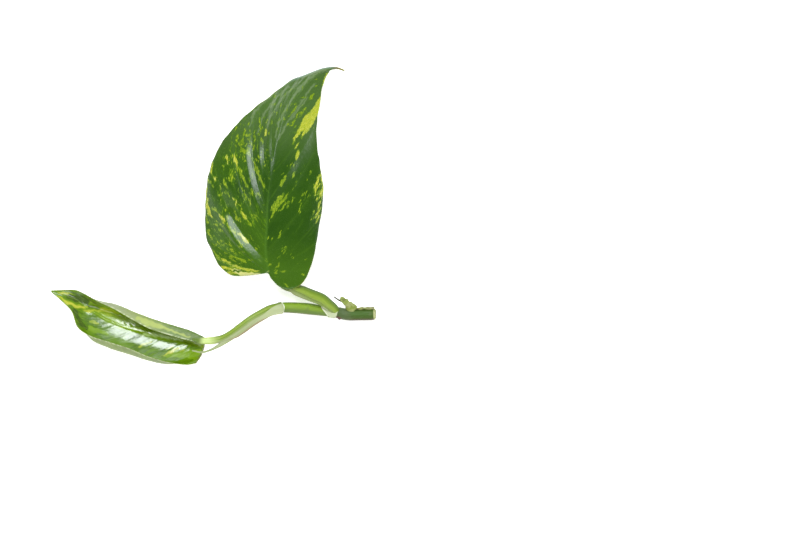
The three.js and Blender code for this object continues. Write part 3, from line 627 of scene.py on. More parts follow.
def large_blade():
    orders = np.linspace(0, 1, LARGE_ROWS + 1)
    steps = np.linspace(0, 1, LARGE_STEPS + 1)
    along = 0.5 * steps + 0.25 * (1 - np.cos(np.pi * steps))
    beyond = np.maximum(0, (orders - VEIN_FAN) / (1 - VEIN_FAN))
    share = np.where(
        orders < VEIN_FAN,
        VEIN_FAN_MARGIN * orders / VEIN_FAN,
        VEIN_FAN_MARGIN + (1 - VEIN_FAN_MARGIN) * beyond + VEIN_SWEEP * beyond * (1 - beyond) ** 2,
    )
    midrib = spline(LARGE_MIDRIB)
    start = midrib(beyond)
    halves = {}
    for side, margin, sign in (("left", LARGE_LEFT, 1), ("right", LARGE_RIGHT, -1)):
        phase = VEIN_COUNT * orders + VEIN_SHIFT[side]
        ridge = 1 - off_ridge(phase) ** QUILT_POWER
        ridge = ridge * np.take(QUILT_HEIGHTS[side], phase.astype(int))
        chord = spline(margin)(share) - start
        length = np.linalg.norm(chord, axis=1)
        outward = np.stack([-chord[:, 1], chord[:, 0], 0 * length], axis=1) * sign
        bow = VEIN_BOW[side] * 4 * along * (1 - along) * np.minimum(1, orders / VEIN_FAN)[:, None]
        points = start[:, None] + chord[:, None] * along[:, None]
        points = points + outward[:, None] * bow[..., None] / 2
        full = (np.minimum(1, length / BULGE_WIDTH) ** 2)[:, None]
        points[..., 2] += 4 * along * (1 - along) * BLADE_BULGE[side] * full
        ridge = QUILT[side] * ridge
        dips = np.zeros_like(ridge)
        for at, depth, below, above in DEEP_VEINS[side]:
            slope = np.maximum((at - phase) / below, (phase - at) / above)
            dips += depth * np.clip(1 - slope, 0, 1)
        inner = smooth(points[..., 1], DEEP_VEIN_TOP + 3, DEEP_VEIN_TOP - 3)
        quilt = (ridge[:, None] - dips[:, None] * inner) * np.sin(np.pi * along) ** 0.8 * full
        points[..., 2] += quilt * (0.8 + 0.35 * wobble(points, 22, 5))
        points[..., 2] += 0.16 * wobble(points, 17, 3) * np.sin(np.pi * along) * full
        veinwise = np.stack(np.broadcast_arrays(phase[:, None] * 6, along * 3, sign * 20.0), axis=-1)
        upper = smooth(orders, 0.45, 0.75)[:, None] * np.sin(np.pi * along) ** 0.5
        points[..., 2] += RIPPLE * wobble(veinwise, 2.2, 9) * upper
        rim_share = np.exp(-(1 - along) * length[:, None] / MARGIN_REACH)
        rim_share = rim_share * np.minimum(1, length / 8)[:, None]
        points += unit(chord)[:, None] * (MARGIN_WAVE * rim_share * wobble(points, 7, 21))[..., None]
        wide = np.ones((len(orders), len(along)))
        halves[side] = {
            "points": points,
            "edge": (1 - along) * length[:, None],
            "phase": phase[:, None] * wide,
            "along": along * wide,
            "left": wide * (side == "left"),
        }
    whole = {}
    for key, left in halves["left"].items():
        whole[key] = np.concatenate([left[:, ::-1], halves["right"][key][:, 1:]], axis=1)
    grid = whole["points"]
    grid[..., 2] = np.maximum(BLADE_THICKNESS / 2, grid[..., 2])
    line = midrib(np.linspace(0, 1, MIDRIB_POINTS))
    plan = grid[..., None, :2] - line[:, :2]
    distance = np.sqrt((plan**2).sum(axis=-1))
    nearest = distance.argmin(axis=-1) / (MIDRIB_POINTS - 1)
    distance = distance.min(axis=-1)
    rib_width = 0.12 + 0.78 * (1 - nearest) ** 1.2
    rib = np.exp(-((distance / rib_width) ** 2))
    tail = smooth(nearest, 0.62, 0.12)
    direction = unit(np.gradient(grid[..., :2], axis=1))
    vein = np.exp(-(((1 - off_ridge(whole["phase"])) / 0.1) ** 2))
    vein = vein * np.minimum(1, distance / 1.5)
    on_left = whole["left"] > 0
    vein_depth = vein * smooth(whole["phase"], np.where(on_left, 4.3, 8.5), np.where(on_left, 4.9, 10.5))
    streak = np.stack([whole["phase"] * 7, whole["along"] * 10, whole["left"] * 9], axis=-1)
    tiny = specks(SPECKS, SPECK_RADIUS, 41)
    marks = {
        "gold": strokes(grid, direction, GOLD, 1.1, 0.04),
        "lime": strokes(grid, direction, LIME + tiny, 1.0, 0.05),
        "cream_and_sheen": strokes(grid, direction, PALE_AND_SHEEN),
        "tip": smooth(nearest, 0.93, 0.99),
        # Painted sheen: a grey-blue sheen over the left side of the tip
        "painted_tip_sheen": smooth(nearest, 0.70, 0.88) * smooth(whole["edge"], 3.5, 0.5) * whole["left"],
        "upper": smooth(grid[..., 1], 18, 42),
        "low": smooth(grid[..., 1], 15, -15) * whole["left"]
        + smooth(grid[..., 1], -8, -26) * (1 - whole["left"]),
        "painted_sheen": strokes(grid, direction, PAINTED_SHEEN_STREAKS, 1.6),
        "rib": rib * tail,
        "vein": vein,
        "edge": whole["edge"],
        "left": whole["left"],
        "streak": streak,
    }
    groove = 0.22 * rib * tail + 0.05 * vein_depth
    return plate(grid, marks, blade_thickness(whole["edge"]), groove, 0.5 * rib * tail + 0.1 * vein)


def small_blade():
    lines = [spline([row[k] for row in SMALL_BLADE]) for k in range(len(SMALL_BLADE[0]))]
    orders = np.linspace(0, 1, SMALL_ROWS + 1)
    steps = np.linspace(0, 1, SMALL_STEPS + 1)
    controls = np.stack([line(orders) for line in lines], axis=1)
    grid = np.stack([spline(row)(steps) for row in controls])
    wide = np.ones(grid.shape[:2])
    order, across = orders[:, None] * wide, steps * wide
    from_rib = np.abs(across - SMALL_RIB)
    phase = 4 + 11 * (order - 0.4 * from_rib)
    ridge = 1 - off_ridge(phase) ** 2
    inside = np.sin(np.pi * across) ** 0.8 * np.sin(np.pi * np.minimum(order * 1.1, 1)) ** 0.6
    fine = wobble(np.stack([phase * 6, across * 6, wide], axis=-1), 2.4, 15)
    relief = 0.075 * ridge * smooth(from_rib, 0.0, 0.1) + 0.10 * wobble(grid, 11, 7) + 0.04 * fine
    grid[..., 2] += relief * inside
    grid[..., 2] = np.maximum(BLADE_THICKNESS / 2, grid[..., 2])
    sizes = np.linalg.norm(np.diff(grid, axis=1), axis=-1).sum(axis=1)[:, None]
    edge = np.minimum(across, 1 - across) * sizes
    rib = np.exp(-((from_rib * sizes / (0.7 - 0.5 * order)) ** 2))
    vein = np.exp(-(((1 - off_ridge(phase)) / 0.12) ** 2)) * smooth(from_rib, 0.02, 0.08)
    level = np.zeros(grid.shape[:2] + (2,))
    marks = {
        "gold": strokes(grid, level, FACE_GOLD),
        "dark_and_shade": strokes(grid, level, FACE_DARK_AND_SHADE),
        "lime": strokes(grid, level, FLAP_LIME),
        "fresh": strokes(grid, level, FACE_FRESH),
        "dot": strokes(grid, level, BASE_DOT),
        "painted_fold_highlight": strokes(grid, level, PAINTED_FOLD_HIGHLIGHT, 2.0),
        "rib": rib,
        "vein": vein,
        # Painted light: the inside of the fold is brightened where the curled margin shades it
        "fold_painted_light": smooth(across, 0.44, 0.54) * smooth(order, 0.78, 0.6),
        "edge": edge,
        "order": order,
        "across": across,
        "streak": np.stack([phase * 7, across * 6, wide], axis=-1),
    }
    groove = 0.18 * rib + 0.04 * vein
    return plate(grid, marks, blade_thickness(edge), groove, 0.35 * rib + 0.08 * vein)


def stem_wrap(angles, ends, rows, steps, thickness, lift):
    """A plate wrapped round the stem between two ends given over the angle."""
    angle = np.linspace(*angles, rows + 1)
    part = np.linspace(0, 1, rows + 1)
    start_x, end_x = STEM[0][0], STEM[-1][0]
    grid = np.zeros((rows + 1, steps + 1, 3))
    for j in range(steps + 1):
        left, right = ends(part)
        x = left + (right - left) * j / steps
        row, centre, across, up = sections(STEM, (start_x - x) / (start_x - end_x))
        out = lift + thickness / 2
        grid[:, j] = (
            centre
            + across * ((row[:, 3] + out) * np.cos(angle))[:, None]
            + up * ((row[:, 4] + out) * np.sin(angle))[:, None]
        )
    wide = np.ones(grid.shape[:2])
    marks = {
        "along": part[:, None] * wide,
        "lateral": np.cos(angle)[:, None] * wide,
        "height": np.sin(angle)[:, None] * wide,
        "reach": np.linspace(0, 1, steps + 1) * wide,
    }
    return plate(grid, marks, thickness)


def wing(rows, span, top, rings=90, steps=36):
    """A sheath wing: a crescent along one side of a petiole that thins out to a lip at its top edge.
    "top" gives the angle of that edge along most of the petiole and at its node."""
    shares = np.linspace(*span, rings + 1)
    row, centre, across, up = sections(rows, shares)
    part = np.linspace(0, 1, steps + 1)
    lip_angle = top[0] + (top[1] - top[0]) * smooth(shares, 0.26, 0.0)
    angle = WING_BOTTOM + (lip_angle[:, None] - WING_BOTTOM) * part
    bulge = smooth(part, 0, 0.14) * smooth(part, 1.0, 0.5)
    end = np.minimum(1, (span[1] - shares) / (span[1] - span[0]) * 4)
    reach = row[:, 3] + (row[:, 5] - row[:, 3]) * np.maximum(end, 0.15)
    core_a = (row[:, 3] - WING_SINK)[:, None] * np.cos(angle)
    core_b = (row[:, 4] - WING_SINK)[:, None] * np.sin(angle)
    outer_a = reach[:, None] * np.cos(angle)
    outer_b = (row[:, 4] + WING_THICKNESS)[:, None] * np.sin(angle)
    a = (core_a + WING_LIP * np.cos(angle)) * (1 - bulge) + outer_a * bulge
    b = (core_b + WING_LIP * np.sin(angle)) * (1 - bulge) + outer_b * bulge
    loop_a = np.concatenate([a, core_a[:, ::-1]], axis=1)
    loop_b = np.concatenate([b, core_b[:, ::-1]], axis=1)
    points = centre[:, None] + across[:, None] * loop_a[..., None] + up[:, None] * loop_b[..., None]
    sides = loop_a.shape[1]
    faces = ring_faces(rings, sides)
    faces.append(list(range(sides))[::-1])
    faces.append([rings * sides + k for k in range(sides)])
    wide = np.ones((rings + 1, sides))
    marks = {
        "along": shares[:, None] * wide,
        "lateral": np.concatenate([np.cos(angle), np.cos(angle)[:, ::-1]], axis=1),
        "height": np.concatenate([np.sin(angle), np.sin(angle)[:, ::-1]], axis=1),
        "lip": np.concatenate([part, part[::-1]]) * wide,
    }
    marks = {name: value.ravel() for name, value in marks.items()}
    return Shape(points.reshape(-1, 3), faces, marks)


class Paint:
    """A material built from nodes."""

    def __init__(self, name):
        self.material = bpy.data.materials.new(name)
        self.material.use_nodes = True
        self.tree = self.material.node_tree
        self.shader = self.tree.nodes["Principled BSDF"]
        self.marks = {}

    def node(self, kind, **values):
        made = self.tree.nodes.new(kind)
        for key, value in values.items():
            setattr(made, key, value)
        return made

    def plug(self, socket, value):
        if isinstance(value, bpy.types.NodeSocket):
            self.tree.links.new(value, socket)
        elif socket.type == "RGBA":
            socket.default_value = (*value, 1.0)
        else:
            socket.default_value = value

    def mark(self, name, output="Fac"):
        if name not in self.marks:
            self.marks[name] = self.node("ShaderNodeAttribute", attribute_name=name)
        return self.marks[name].outputs[output]

    def position(self):
        return self.node("ShaderNodeTexCoord").outputs["Object"]

    def around(self):
        """A place on a stalk, by its section and its length."""
        made = self.node("ShaderNodeCombineXYZ")
        for k, key in enumerate(("lateral", "height", "along")):
            self.plug(made.inputs[k], self.mark(key))
        return made.outputs[0]

    def math(self, operation, a, b=0.0):
        made = self.node("ShaderNodeMath", operation=operation)
        self.plug(made.inputs[0], a)
        self.plug(made.inputs[1], b)
        return made.outputs[0]

    def noise(self, vector, scale, detail=2.0, roughness=0.5, stretch=None):
        if stretch is not None:
            mapping = self.node("ShaderNodeMapping")
            self.plug(mapping.inputs["Vector"], vector)
            mapping.inputs["Scale"].default_value = stretch
            vector = mapping.outputs[0]
        made = self.node("ShaderNodeTexNoise")
        self.plug(made.inputs["Vector"], vector)
        self.plug(made.inputs["Scale"], scale)
        self.plug(made.inputs["Detail"], detail)
        self.plug(made.inputs["Roughness"], roughness)
        return made.outputs["Fac"]

    def step(self, value, low, high, top=1.0):
        made = self.node("ShaderNodeMapRange", interpolation_type="SMOOTHSTEP")
        for key, given in zip(("Value", "From Min", "From Max", "To Max"), (value, low, high, top)):
            self.plug(made.inputs[key], given)
        return made.outputs[0]

    def blend(self, factor, a, b):
        made = self.node("ShaderNodeMix", data_type="RGBA")
        self.plug(made.inputs[0], factor)
        self.plug(made.inputs[6], a)
        self.plug(made.inputs[7], b)
        return made.outputs[2]

    def ramp(self, value, stops):
        made = self.node("ShaderNodeValToRGB")
        self.plug(made.inputs[0], value)
        elements = made.color_ramp.elements
        while len(elements) < len(stops):
            elements.new(0.5)
        for element, (at, colour) in zip(elements, stops):
            element.position = at
            element.color = (*colour, 1.0)
        return made.outputs["Color"]

    def add_noise(self, value, noise, amount):
        return self.math("ADD", value, self.math("MULTIPLY", self.math("SUBTRACT", noise, 0.5), amount))

    def bump(self, height, distance, strength=1.0):
        made = self.node("ShaderNodeBump")
        self.plug(made.inputs["Height"], height)
        made.inputs["Distance"].default_value = distance
        made.inputs["Strength"].default_value = strength
        return made.outputs[0]

    def finish(self, colour, roughness, normal=None, coat=0.0, coat_roughness=0.2, specular=0.5):
        self.plug(self.shader.inputs["Base Color"], colour)
        self.plug(self.shader.inputs["Roughness"], roughness)
        if normal is not None:
            self.plug(self.shader.inputs["Normal"], normal)
        self.shader.inputs["Coat Weight"].default_value = coat
        self.shader.inputs["Coat Roughness"].default_value = coat_roughness
        self.shader.inputs["Specular IOR Level"].default_value = specular
        return self.material


# Linear colours
DEEP_GREEN = (0.015, 0.056, 0.001)
LEAF_GREEN = (0.028, 0.084, 0.002)
FRESH_GREEN = (0.046, 0.116, 0.004)
LIME_GREEN = (0.105, 0.190, 0.005)
GOLDEN = (0.380, 0.400, 0.020)
CREAM = (0.570, 0.570, 0.220)
RIB_GREEN = (0.052, 0.130, 0.010)
UNDER_GREEN = (0.075, 0.150, 0.040)


def large_leaf_paint():
    p = Paint("large_leaf")
    spot = p.position()
    streak = p.mark("streak", "Vector")
    cloud = p.noise(spot, 60, 4, 0.6)
    grain = p.noise(spot, 700, 3, 0.6)
    flow = p.noise(streak, 0.55, 3, 0.6)
    fleck = p.noise(streak, 1.5, 3, 0.6)
    thread = p.noise(streak, 4.2, 3, 0.7)
    left = p.mark("left")
    colour = p.blend(p.step(cloud, 0.36, 0.64), DEEP_GREEN, LEAF_GREEN)
    colour = p.blend(p.step(flow, 0.50, 0.72, 0.7), colour, FRESH_GREEN)
    # Painted shade: the right half of the blade is blended towards a deeper green
    colour = p.blend(p.step(left, 0.6, 0.4, 0.6), colour, DEEP_GREEN)
    colour = p.blend(p.math("MULTIPLY", p.mark("low"), 0.65), colour, FRESH_GREEN)
    # Painted sheen: the upper part of the blade is blended towards a lighter grey-green
    colour = p.blend(p.math("MULTIPLY", p.mark("upper"), 0.5), colour, (0.080, 0.142, 0.038))
    # Painted sheen along the veins of the upper blade
    painted_sheen = p.step(p.add_noise(p.mark("painted_sheen"), thread, 0.5), 0.25, 0.75, 0.85)
    colour = p.blend(painted_sheen, colour, (0.130, 0.190, 0.085))
    colour = p.blend(p.math("MULTIPLY", p.mark("vein"), 0.3), colour, FRESH_GREEN)
    speck = p.math("MULTIPLY", p.step(fleck, 0.60, 0.67), p.math("MULTIPLY", left, 0.7))
    colour = p.blend(speck, colour, (0.085, 0.180, 0.004))
    lime = p.add_noise(p.add_noise(p.mark("lime"), thread, 1.2), fleck, 0.7)
    colour = p.blend(p.step(lime, 0.34, 0.52, 0.8), colour, (0.070, 0.160, 0.004))
    lime_colour = p.blend(p.step(thread, 0.47, 0.64), LIME_GREEN, (0.30, 0.38, 0.015))
    colour = p.blend(p.step(lime, 0.48, 0.64), colour, lime_colour)
    gold = p.add_noise(p.add_noise(p.mark("gold"), thread, 1.2), fleck, 0.6)
    colour = p.blend(p.step(gold, 0.28, 0.46), colour, (0.085, 0.175, 0.004))
    golden_share = p.step(p.add_noise(fleck, thread, 0.5), 0.38, 0.60)
    gold_colour = p.blend(golden_share, (0.21, 0.28, 0.008), GOLDEN)
    gold_colour = p.blend(p.step(thread, 0.50, 0.66, 0.7), gold_colour, (0.52, 0.52, 0.17))
    gold_colour = p.blend(p.step(thread, 0.46, 0.34, 0.8), gold_colour, (0.20, 0.28, 0.007))
    colour = p.blend(p.step(gold, 0.44, 0.66), colour, gold_colour)
    # Cream marks, with a painted highlight along the left lobe's lower edge
    cream_and_sheen = p.step(p.add_noise(p.mark("cream_and_sheen"), thread, 0.7), 0.40, 0.85, 0.8)
    colour = p.blend(cream_and_sheen, colour, CREAM)
    colour = p.blend(p.step(p.mark("rib"), 0.25, 0.85, 0.55), colour, RIB_GREEN)
    # Painted sheen: grey-blue over the left side of the tip
    painted_tip_sheen = p.step(p.add_noise(p.mark("painted_tip_sheen"), thread, 0.4), 0.1, 0.8, 0.7)
    colour = p.blend(painted_tip_sheen, colour, (0.150, 0.240, 0.200))
    colour = p.blend(p.mark("tip"), colour, (0.20, 0.14, 0.05))
    edge = p.math("MULTIPLY", p.step(p.mark("edge"), 0.45, 0.1), p.step(cloud, 0.42, 0.58, 0.8))
    colour = p.blend(edge, colour, (0.25, 0.26, 0.05))
    under = p.blend(p.step(gold, 0.4, 0.6), UNDER_GREEN, (0.34, 0.38, 0.12))
    under = p.blend(p.step(p.mark("rib"), 0.3, 0.8, 0.7), under, (0.20, 0.29, 0.10))
    colour = p.blend(p.mark("under"), colour, under)
    rough = p.add_noise(p.add_noise(0.26, grain, 0.12), thread, 0.16)
    rough = p.math("ADD", rough, p.math("MULTIPLY", p.mark("under"), 0.25))
    return p.finish(colour, rough, p.bump(grain, 0.00006), specular=0.25)


def small_leaf_paint():
    p = Paint("small_leaf")
    spot = p.position()
    streak = p.mark("streak", "Vector")
    cloud = p.noise(spot, 90, 3)
    grain = p.noise(spot, 700, 3, 0.6)
    fleck = p.noise(streak, 0.9, 3, 0.6)
    thread = p.noise(streak, 2.6, 3, 0.65)
    colour = p.blend(p.step(cloud, 0.35, 0.65), (0.068, 0.155, 0.002), (0.120, 0.235, 0.002))
    colour = p.blend(p.step(fleck, 0.48, 0.60, 0.7), colour, (0.045, 0.108, 0.001))
    fresh = p.step(p.add_noise(p.mark("fresh"), fleck, 0.6), 0.25, 0.75)
    colour = p.blend(fresh, colour, (0.170, 0.300, 0.006))
    # Painted shade in the creases and under the curled margin, with darker green near the tip
    dark_and_shade = p.step(p.add_noise(p.mark("dark_and_shade"), thread, 0.6), 0.25, 0.75)
    colour = p.blend(dark_and_shade, colour, (0.040, 0.085, 0.004))
    colour = p.blend(p.step(thread, 0.54, 0.66, 0.6), colour, (0.17, 0.27, 0.008))
    gold = p.add_noise(p.add_noise(p.mark("gold"), thread, 0.7), fleck, 0.5)
    colour = p.blend(p.step(gold, 0.15, 0.50), colour, (0.20, 0.30, 0.006))
    colour = p.blend(p.step(gold, 0.45, 0.90), colour, (0.42, 0.44, 0.040))
    # Painted shade: the veins are darkened like shaded creases
    colour = p.blend(p.math("MULTIPLY", p.mark("vein"), 0.2), colour, (0.04, 0.10, 0.002))
    colour = p.blend(p.step(p.mark("rib"), 0.3, 0.8, 0.4), colour, (0.20, 0.32, 0.02))
    # Painted light inside the fold
    colour = p.blend(p.math("MULTIPLY", p.mark("fold_painted_light"), 0.6), colour, (0.28, 0.44, 0.012))
    # Painted highlight under the curled margin
    painted_fold_highlight = p.step(p.add_noise(p.mark("painted_fold_highlight"), thread, 0.7), 0.25, 0.85)
    colour = p.blend(painted_fold_highlight, colour, (0.44, 0.60, 0.20))
    colour = p.blend(p.step(p.mark("edge"), 0.4, 0.1, 0.6), colour, (0.28, 0.33, 0.04))
    base_edge = p.math("MULTIPLY", p.step(p.mark("order"), 0.012, 0.004), 0.7)
    colour = p.blend(base_edge, colour, (0.16, 0.13, 0.03))
    place = p.add_noise(p.mark("order"), fleck, 0.16)
    upper = p.ramp(
        place,
        [
            (0.0, (0.070, 0.135, 0.008)),
            (0.20, (0.080, 0.150, 0.010)),
            (0.34, (0.160, 0.225, 0.042)),
            (0.46, (0.190, 0.245, 0.065)),
            (0.60, (0.240, 0.280, 0.155)),
            (1.0, (0.190, 0.230, 0.110)),
        ],
    )
    upper = p.blend(p.step(thread, 0.50, 0.66, 0.5), upper, (0.250, 0.290, 0.150))
    low = p.blend(p.step(thread, 0.40, 0.62), (0.155, 0.225, 0.048), (0.230, 0.275, 0.110))
    low = p.blend(p.step(cloud, 0.48, 0.62, 0.5), low, (0.150, 0.190, 0.080))
    under = p.blend(p.step(p.mark("across"), 0.45, 0.38), upper, low)
    lime = p.add_noise(p.add_noise(p.mark("lime"), thread, 0.7), fleck, 0.6)
    under = p.blend(p.step(lime, 0.25, 1.05, 0.9), under, (0.300, 0.370, 0.055))
    under = p.blend(p.step(p.mark("vein"), 0.3, 0.9, 0.25), under, (0.14, 0.22, 0.04))
    # Painted highlight: pale spots along the free edge of the rolled-over margin
    painted_rim_highlight = p.math("MULTIPLY", p.step(p.mark("edge"), 0.7, 0.2), p.step(fleck, 0.44, 0.56, 0.8))
    under = p.blend(painted_rim_highlight, under, (0.520, 0.580, 0.360))
    under = p.blend(p.step(p.mark("dot"), 0.4, 0.7), under, (0.05, 0.06, 0.01))
    colour = p.blend(p.mark("under"), colour, under)
    rough = p.add_noise(p.add_noise(0.20, grain, 0.08), thread, 0.34)
    rough = p.math("ADD", rough, p.math("MULTIPLY", p.mark("under"), 0.32))
    return p.finish(colour, rough, p.bump(grain, 0.00006), specular=0.58)


def stalk_paint(name, bands, streak_colour, roughness=0.42):
    """Lengthwise bands across a stalk, from +Y (0) to -Y (1), with fine streaks along it."""
    p = Paint(name)
    fibre = p.noise(p.around(), 7, 3, 0.6, stretch=(1, 1, 0.9))
    grain = p.noise(p.position(), 900, 2)
    at = p.math("ADD", p.math("MULTIPLY", p.mark("lateral"), 0.5), 0.5)
    colour = p.ramp(p.add_noise(at, fibre, 0.12), bands)
    colour = p.blend(p.step(fibre, 0.55, 0.75, 0.5), colour, streak_colour)
    return p, colour, fibre, grain


def large_petiole_paint():
    bands = [
        (0.0, (0.040, 0.080, 0.006)),
        (0.12, (0.080, 0.145, 0.010)),
        (0.30, (0.130, 0.210, 0.014)),
        (0.52, (0.210, 0.300, 0.032)),
        (0.78, (0.180, 0.265, 0.026)),
        # Painted shade: a dark line in the groove beside the sheath wing
        (0.85, (0.095, 0.130, 0.014)),
        (0.89, (0.180, 0.250, 0.045)),
        (1.0, (0.220, 0.290, 0.090)),
    ]
    p, colour, fibre, grain = stalk_paint("large_petiole", bands, (0.14, 0.22, 0.012))
    return p.finish(colour, p.add_noise(0.40, grain, 0.1), p.bump(fibre, 0.00015), specular=0.3)


def small_petiole_paint():
    bands = [
        (0.0, (0.085, 0.145, 0.014)),
        (0.15, (0.165, 0.250, 0.022)),
        (0.40, (0.215, 0.310, 0.032)),
        (0.55, (0.120, 0.190, 0.018)),
        (0.66, (0.200, 0.280, 0.055)),
        (1.0, (0.28, 0.33, 0.15)),
    ]
    p, colour, fibre, grain = stalk_paint("small_petiole", bands, (0.20, 0.30, 0.02))
    # Painted highlight: the stalk's end near the leaf is pale yellow-green
    painted_highlight_near_leaf = p.step(p.add_noise(p.mark("along"), fibre, 0.06), 0.70, 0.84)
    pale = p.blend(p.step(fibre, 0.4, 0.6), (0.540, 0.650, 0.280), (0.380, 0.490, 0.130))
    colour = p.blend(painted_highlight_near_leaf, colour, pale)
    at_leaf = p.step(p.add_noise(p.mark("along"), fibre, 0.04), 0.88, 0.95)
    colour = p.blend(at_leaf, colour, (0.110, 0.180, 0.028))
    return p.finish(colour, p.add_noise(0.40, grain, 0.1), p.bump(fibre, 0.00015), specular=0.3)


def stem_paint():
    old = [
        (0.0, (0.080, 0.120, 0.035)),
        (0.15, (0.046, 0.092, 0.010)),
        (0.45, (0.040, 0.100, 0.005)),
        (0.80, (0.046, 0.088, 0.010)),
        (0.90, (0.060, 0.060, 0.014)),
        (1.0, (0.045, 0.022, 0.008)),
    ]
    p, colour, fibre, grain = stalk_paint("stem", old, (0.036, 0.078, 0.014))
    at = p.math("ADD", p.math("MULTIPLY", p.mark("lateral"), 0.5), 0.5)
    # The young stem is lighter towards +Y and greyer towards -Y, painted light and shade, with its own
    # brown lower edge
    young = p.ramp(
        p.add_noise(at, fibre, 0.15),
        [
            (0.0, (0.10, 0.18, 0.010)),
            (0.2, (0.19, 0.31, 0.014)),
            (0.45, (0.17, 0.27, 0.018)),
            (0.75, (0.11, 0.18, 0.034)),
            (0.93, (0.10, 0.16, 0.030)),
            (1.0, (0.12, 0.11, 0.030)),
        ],
    )
    bluish = p.step(p.add_noise(p.mark("along"), fibre, 0.1), 0.22, 0.32, 0.8)
    colour = p.blend(bluish, colour, (0.068, 0.104, 0.036))
    grown = p.step(p.add_noise(p.mark("along"), fibre, 0.03), 0.40, 0.50)
    colour = p.blend(grown, colour, young)
    blotch = p.noise(p.position(), 260, 3, 0.6)
    colour = p.blend(p.step(blotch, 0.55, 0.70, 0.45), colour, (0.085, 0.115, 0.040))
    cut_colour = p.blend(p.step(blotch, 0.4, 0.6), (0.26, 0.30, 0.10), (0.40, 0.42, 0.20))
    frayed = p.step(p.add_noise(p.mark("along"), blotch, 0.014), 0.020, 0.008)
    colour = p.blend(frayed, colour, cut_colour)
    colour = p.blend(p.mark("root"), colour, (0.075, 0.018, 0.008))
    return p.finish(colour, p.add_noise(0.42, grain, 0.14), p.bump(fibre, 0.0002), specular=0.18)


def sheath_paint(name, colours, rim_mark):
    """A pale, ribbed sheath. Its colours: two shades, the node end, the pale parts and the lower edge."""
    p = Paint(name)
    light, dull, near_node, pale, edge = colours
    fibre = p.noise(p.around(), 9, 3, 0.6, stretch=(1.4, 1.4, 0.8))
    colour = p.blend(p.step(fibre, 0.4, 0.65), light, dull)
    colour = p.blend(p.step(p.add_noise(p.mark("along"), fibre, 0.1), 0.36, 0.20), colour, near_node)
    colour = p.blend(p.step(p.mark("lateral"), 0.93, 0.99, 0.8), colour, edge)
    colour = p.blend(p.step(p.mark(rim_mark), 0.2, 0.8), colour, pale)
    grain = p.noise(p.position(), 900, 2)
    return p.finish(colour, p.add_noise(0.45, grain, 0.12), p.bump(fibre, 0.00012), specular=0.3)


def old_paint():
    p = Paint("old_petiole")
    spot = p.position()
    fibre = p.noise(spot, 500, 4, 0.65, stretch=(0.5, 1.4, 1.4))
    colour = p.blend(p.step(fibre, 0.35, 0.62), (0.170, 0.225, 0.030), (0.280, 0.310, 0.110))
    colour = p.blend(p.step(fibre, 0.60, 0.72), colour, (0.10, 0.085, 0.03))
    blotch = p.noise(spot, 420, 3, 0.6)
    colour = p.blend(p.step(blotch, 0.52, 0.66, 0.7), colour, (0.085, 0.105, 0.025))
    colour = p.blend(p.step(p.mark("dry"), 0.0, 0.4, 0.75), colour, (0.185, 0.180, 0.075))
    colour = p.blend(p.step(p.mark("dry"), 0.5, 1.0), colour, (0.045, 0.040, 0.020))
    return p.finish(colour, 0.62, p.bump(fibre, 0.0003), specular=0.25)


def add_object(name, data):
    made = bpy.data.objects.new(name, data)
    bpy.context.scene.collection.objects.link(made)
    return made


def piece(name, shape, material, node):
    """One object that stands for a CAD node."""
    shape.points[:, 2] = np.maximum(shape.points[:, 2], 0)
    mesh = bpy.data.meshes.new(name)
    mesh.from_pydata((shape.points * MM).tolist(), [], shape.faces)
    mesh.update()
    mesh.polygons.foreach_set("use_smooth", np.ones(len(mesh.polygons), bool))
    for key, value in shape.marks.items():
        value = np.asarray(value, np.float32)
        if value.ndim == 2:
            mesh.attributes.new(key, "FLOAT_VECTOR", "POINT").data.foreach_set("vector", value.ravel())
        else:
            mesh.attributes.new(key, "FLOAT", "POINT").data.foreach_set("value", value)
    mesh.materials.append(material)
    made = add_object(name, mesh)
    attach(made, "root")
    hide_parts(node)


def stem_shape():
    def swell(angle, share):
        ribs = 0.018 * np.cos(9 * angle) + 0.012 * np.cos(17 * angle + 2)
        scar = 0.05 * np.exp(-(((share - 0.375) / 0.008) ** 2))
        return 1 + ribs + scar

    cut = [(0.22, -0.3), (0.5, -0.32), (0.76, -0.25), (0.9, -0.05), (0.97, 0.02)]
    body = tube(STEM, 190, 56, swell=swell, ends=(cut, ()))
    near_cut = smooth(body.points[:, 0], *CUT_REACH)
    body.points[:, 0] -= CUT_SLANT * (body.points[:, 2] - STEM[0][2]) * near_cut
    root = tube(ROOT_NUB, 10, 14, ends=((), ((0.7, 0.12), (0.3, 0.2))))
    body.marks["root"] = smooth(np.linalg.norm(body.points - ROOT_SPOT, axis=1), 1.9, 1.1)
    root.marks["root"] = np.ones(len(root.points))
    root.marks["along"] = np.full(len(root.points), 0.4)
    root.marks["cut"] = np.zeros(len(root.points))
    return body + root


def without_cut(shape):
    shape.marks.pop("cut")
    return shape


def free_tip(rows, rings):
    """The end of a sheath wing that stands free. It takes the upper half of the mark "along"."""
    tip = tube(rows, rings, 16)
    tip.marks["along"] = tip.marks["along"] / 2 + 0.5
    return tip


def groove_swell(at, depth):
    def swell(angle, share):
        dent = depth * np.exp(-(((angle - at) / GROOVE_WIDTH) ** 2))
        return 1 - dent + 0.012 * np.cos(11 * angle + 1)

    return swell


LARGE_SHEATH = (
    (0.185, 0.260, 0.070),
    (0.250, 0.315, 0.125),
    (0.115, 0.190, 0.024),
    (0.620, 0.650, 0.480),
    (0.22, 0.25, 0.09),
)
SMALL_SHEATH = (
    (0.270, 0.335, 0.140),
    (0.360, 0.390, 0.240),
    (0.370, 0.420, 0.225),
    (0.760, 0.790, 0.680),
    (0.240, 0.170, 0.095),
)

piece("green_stem", stem_shape(), stem_paint(), "stem")

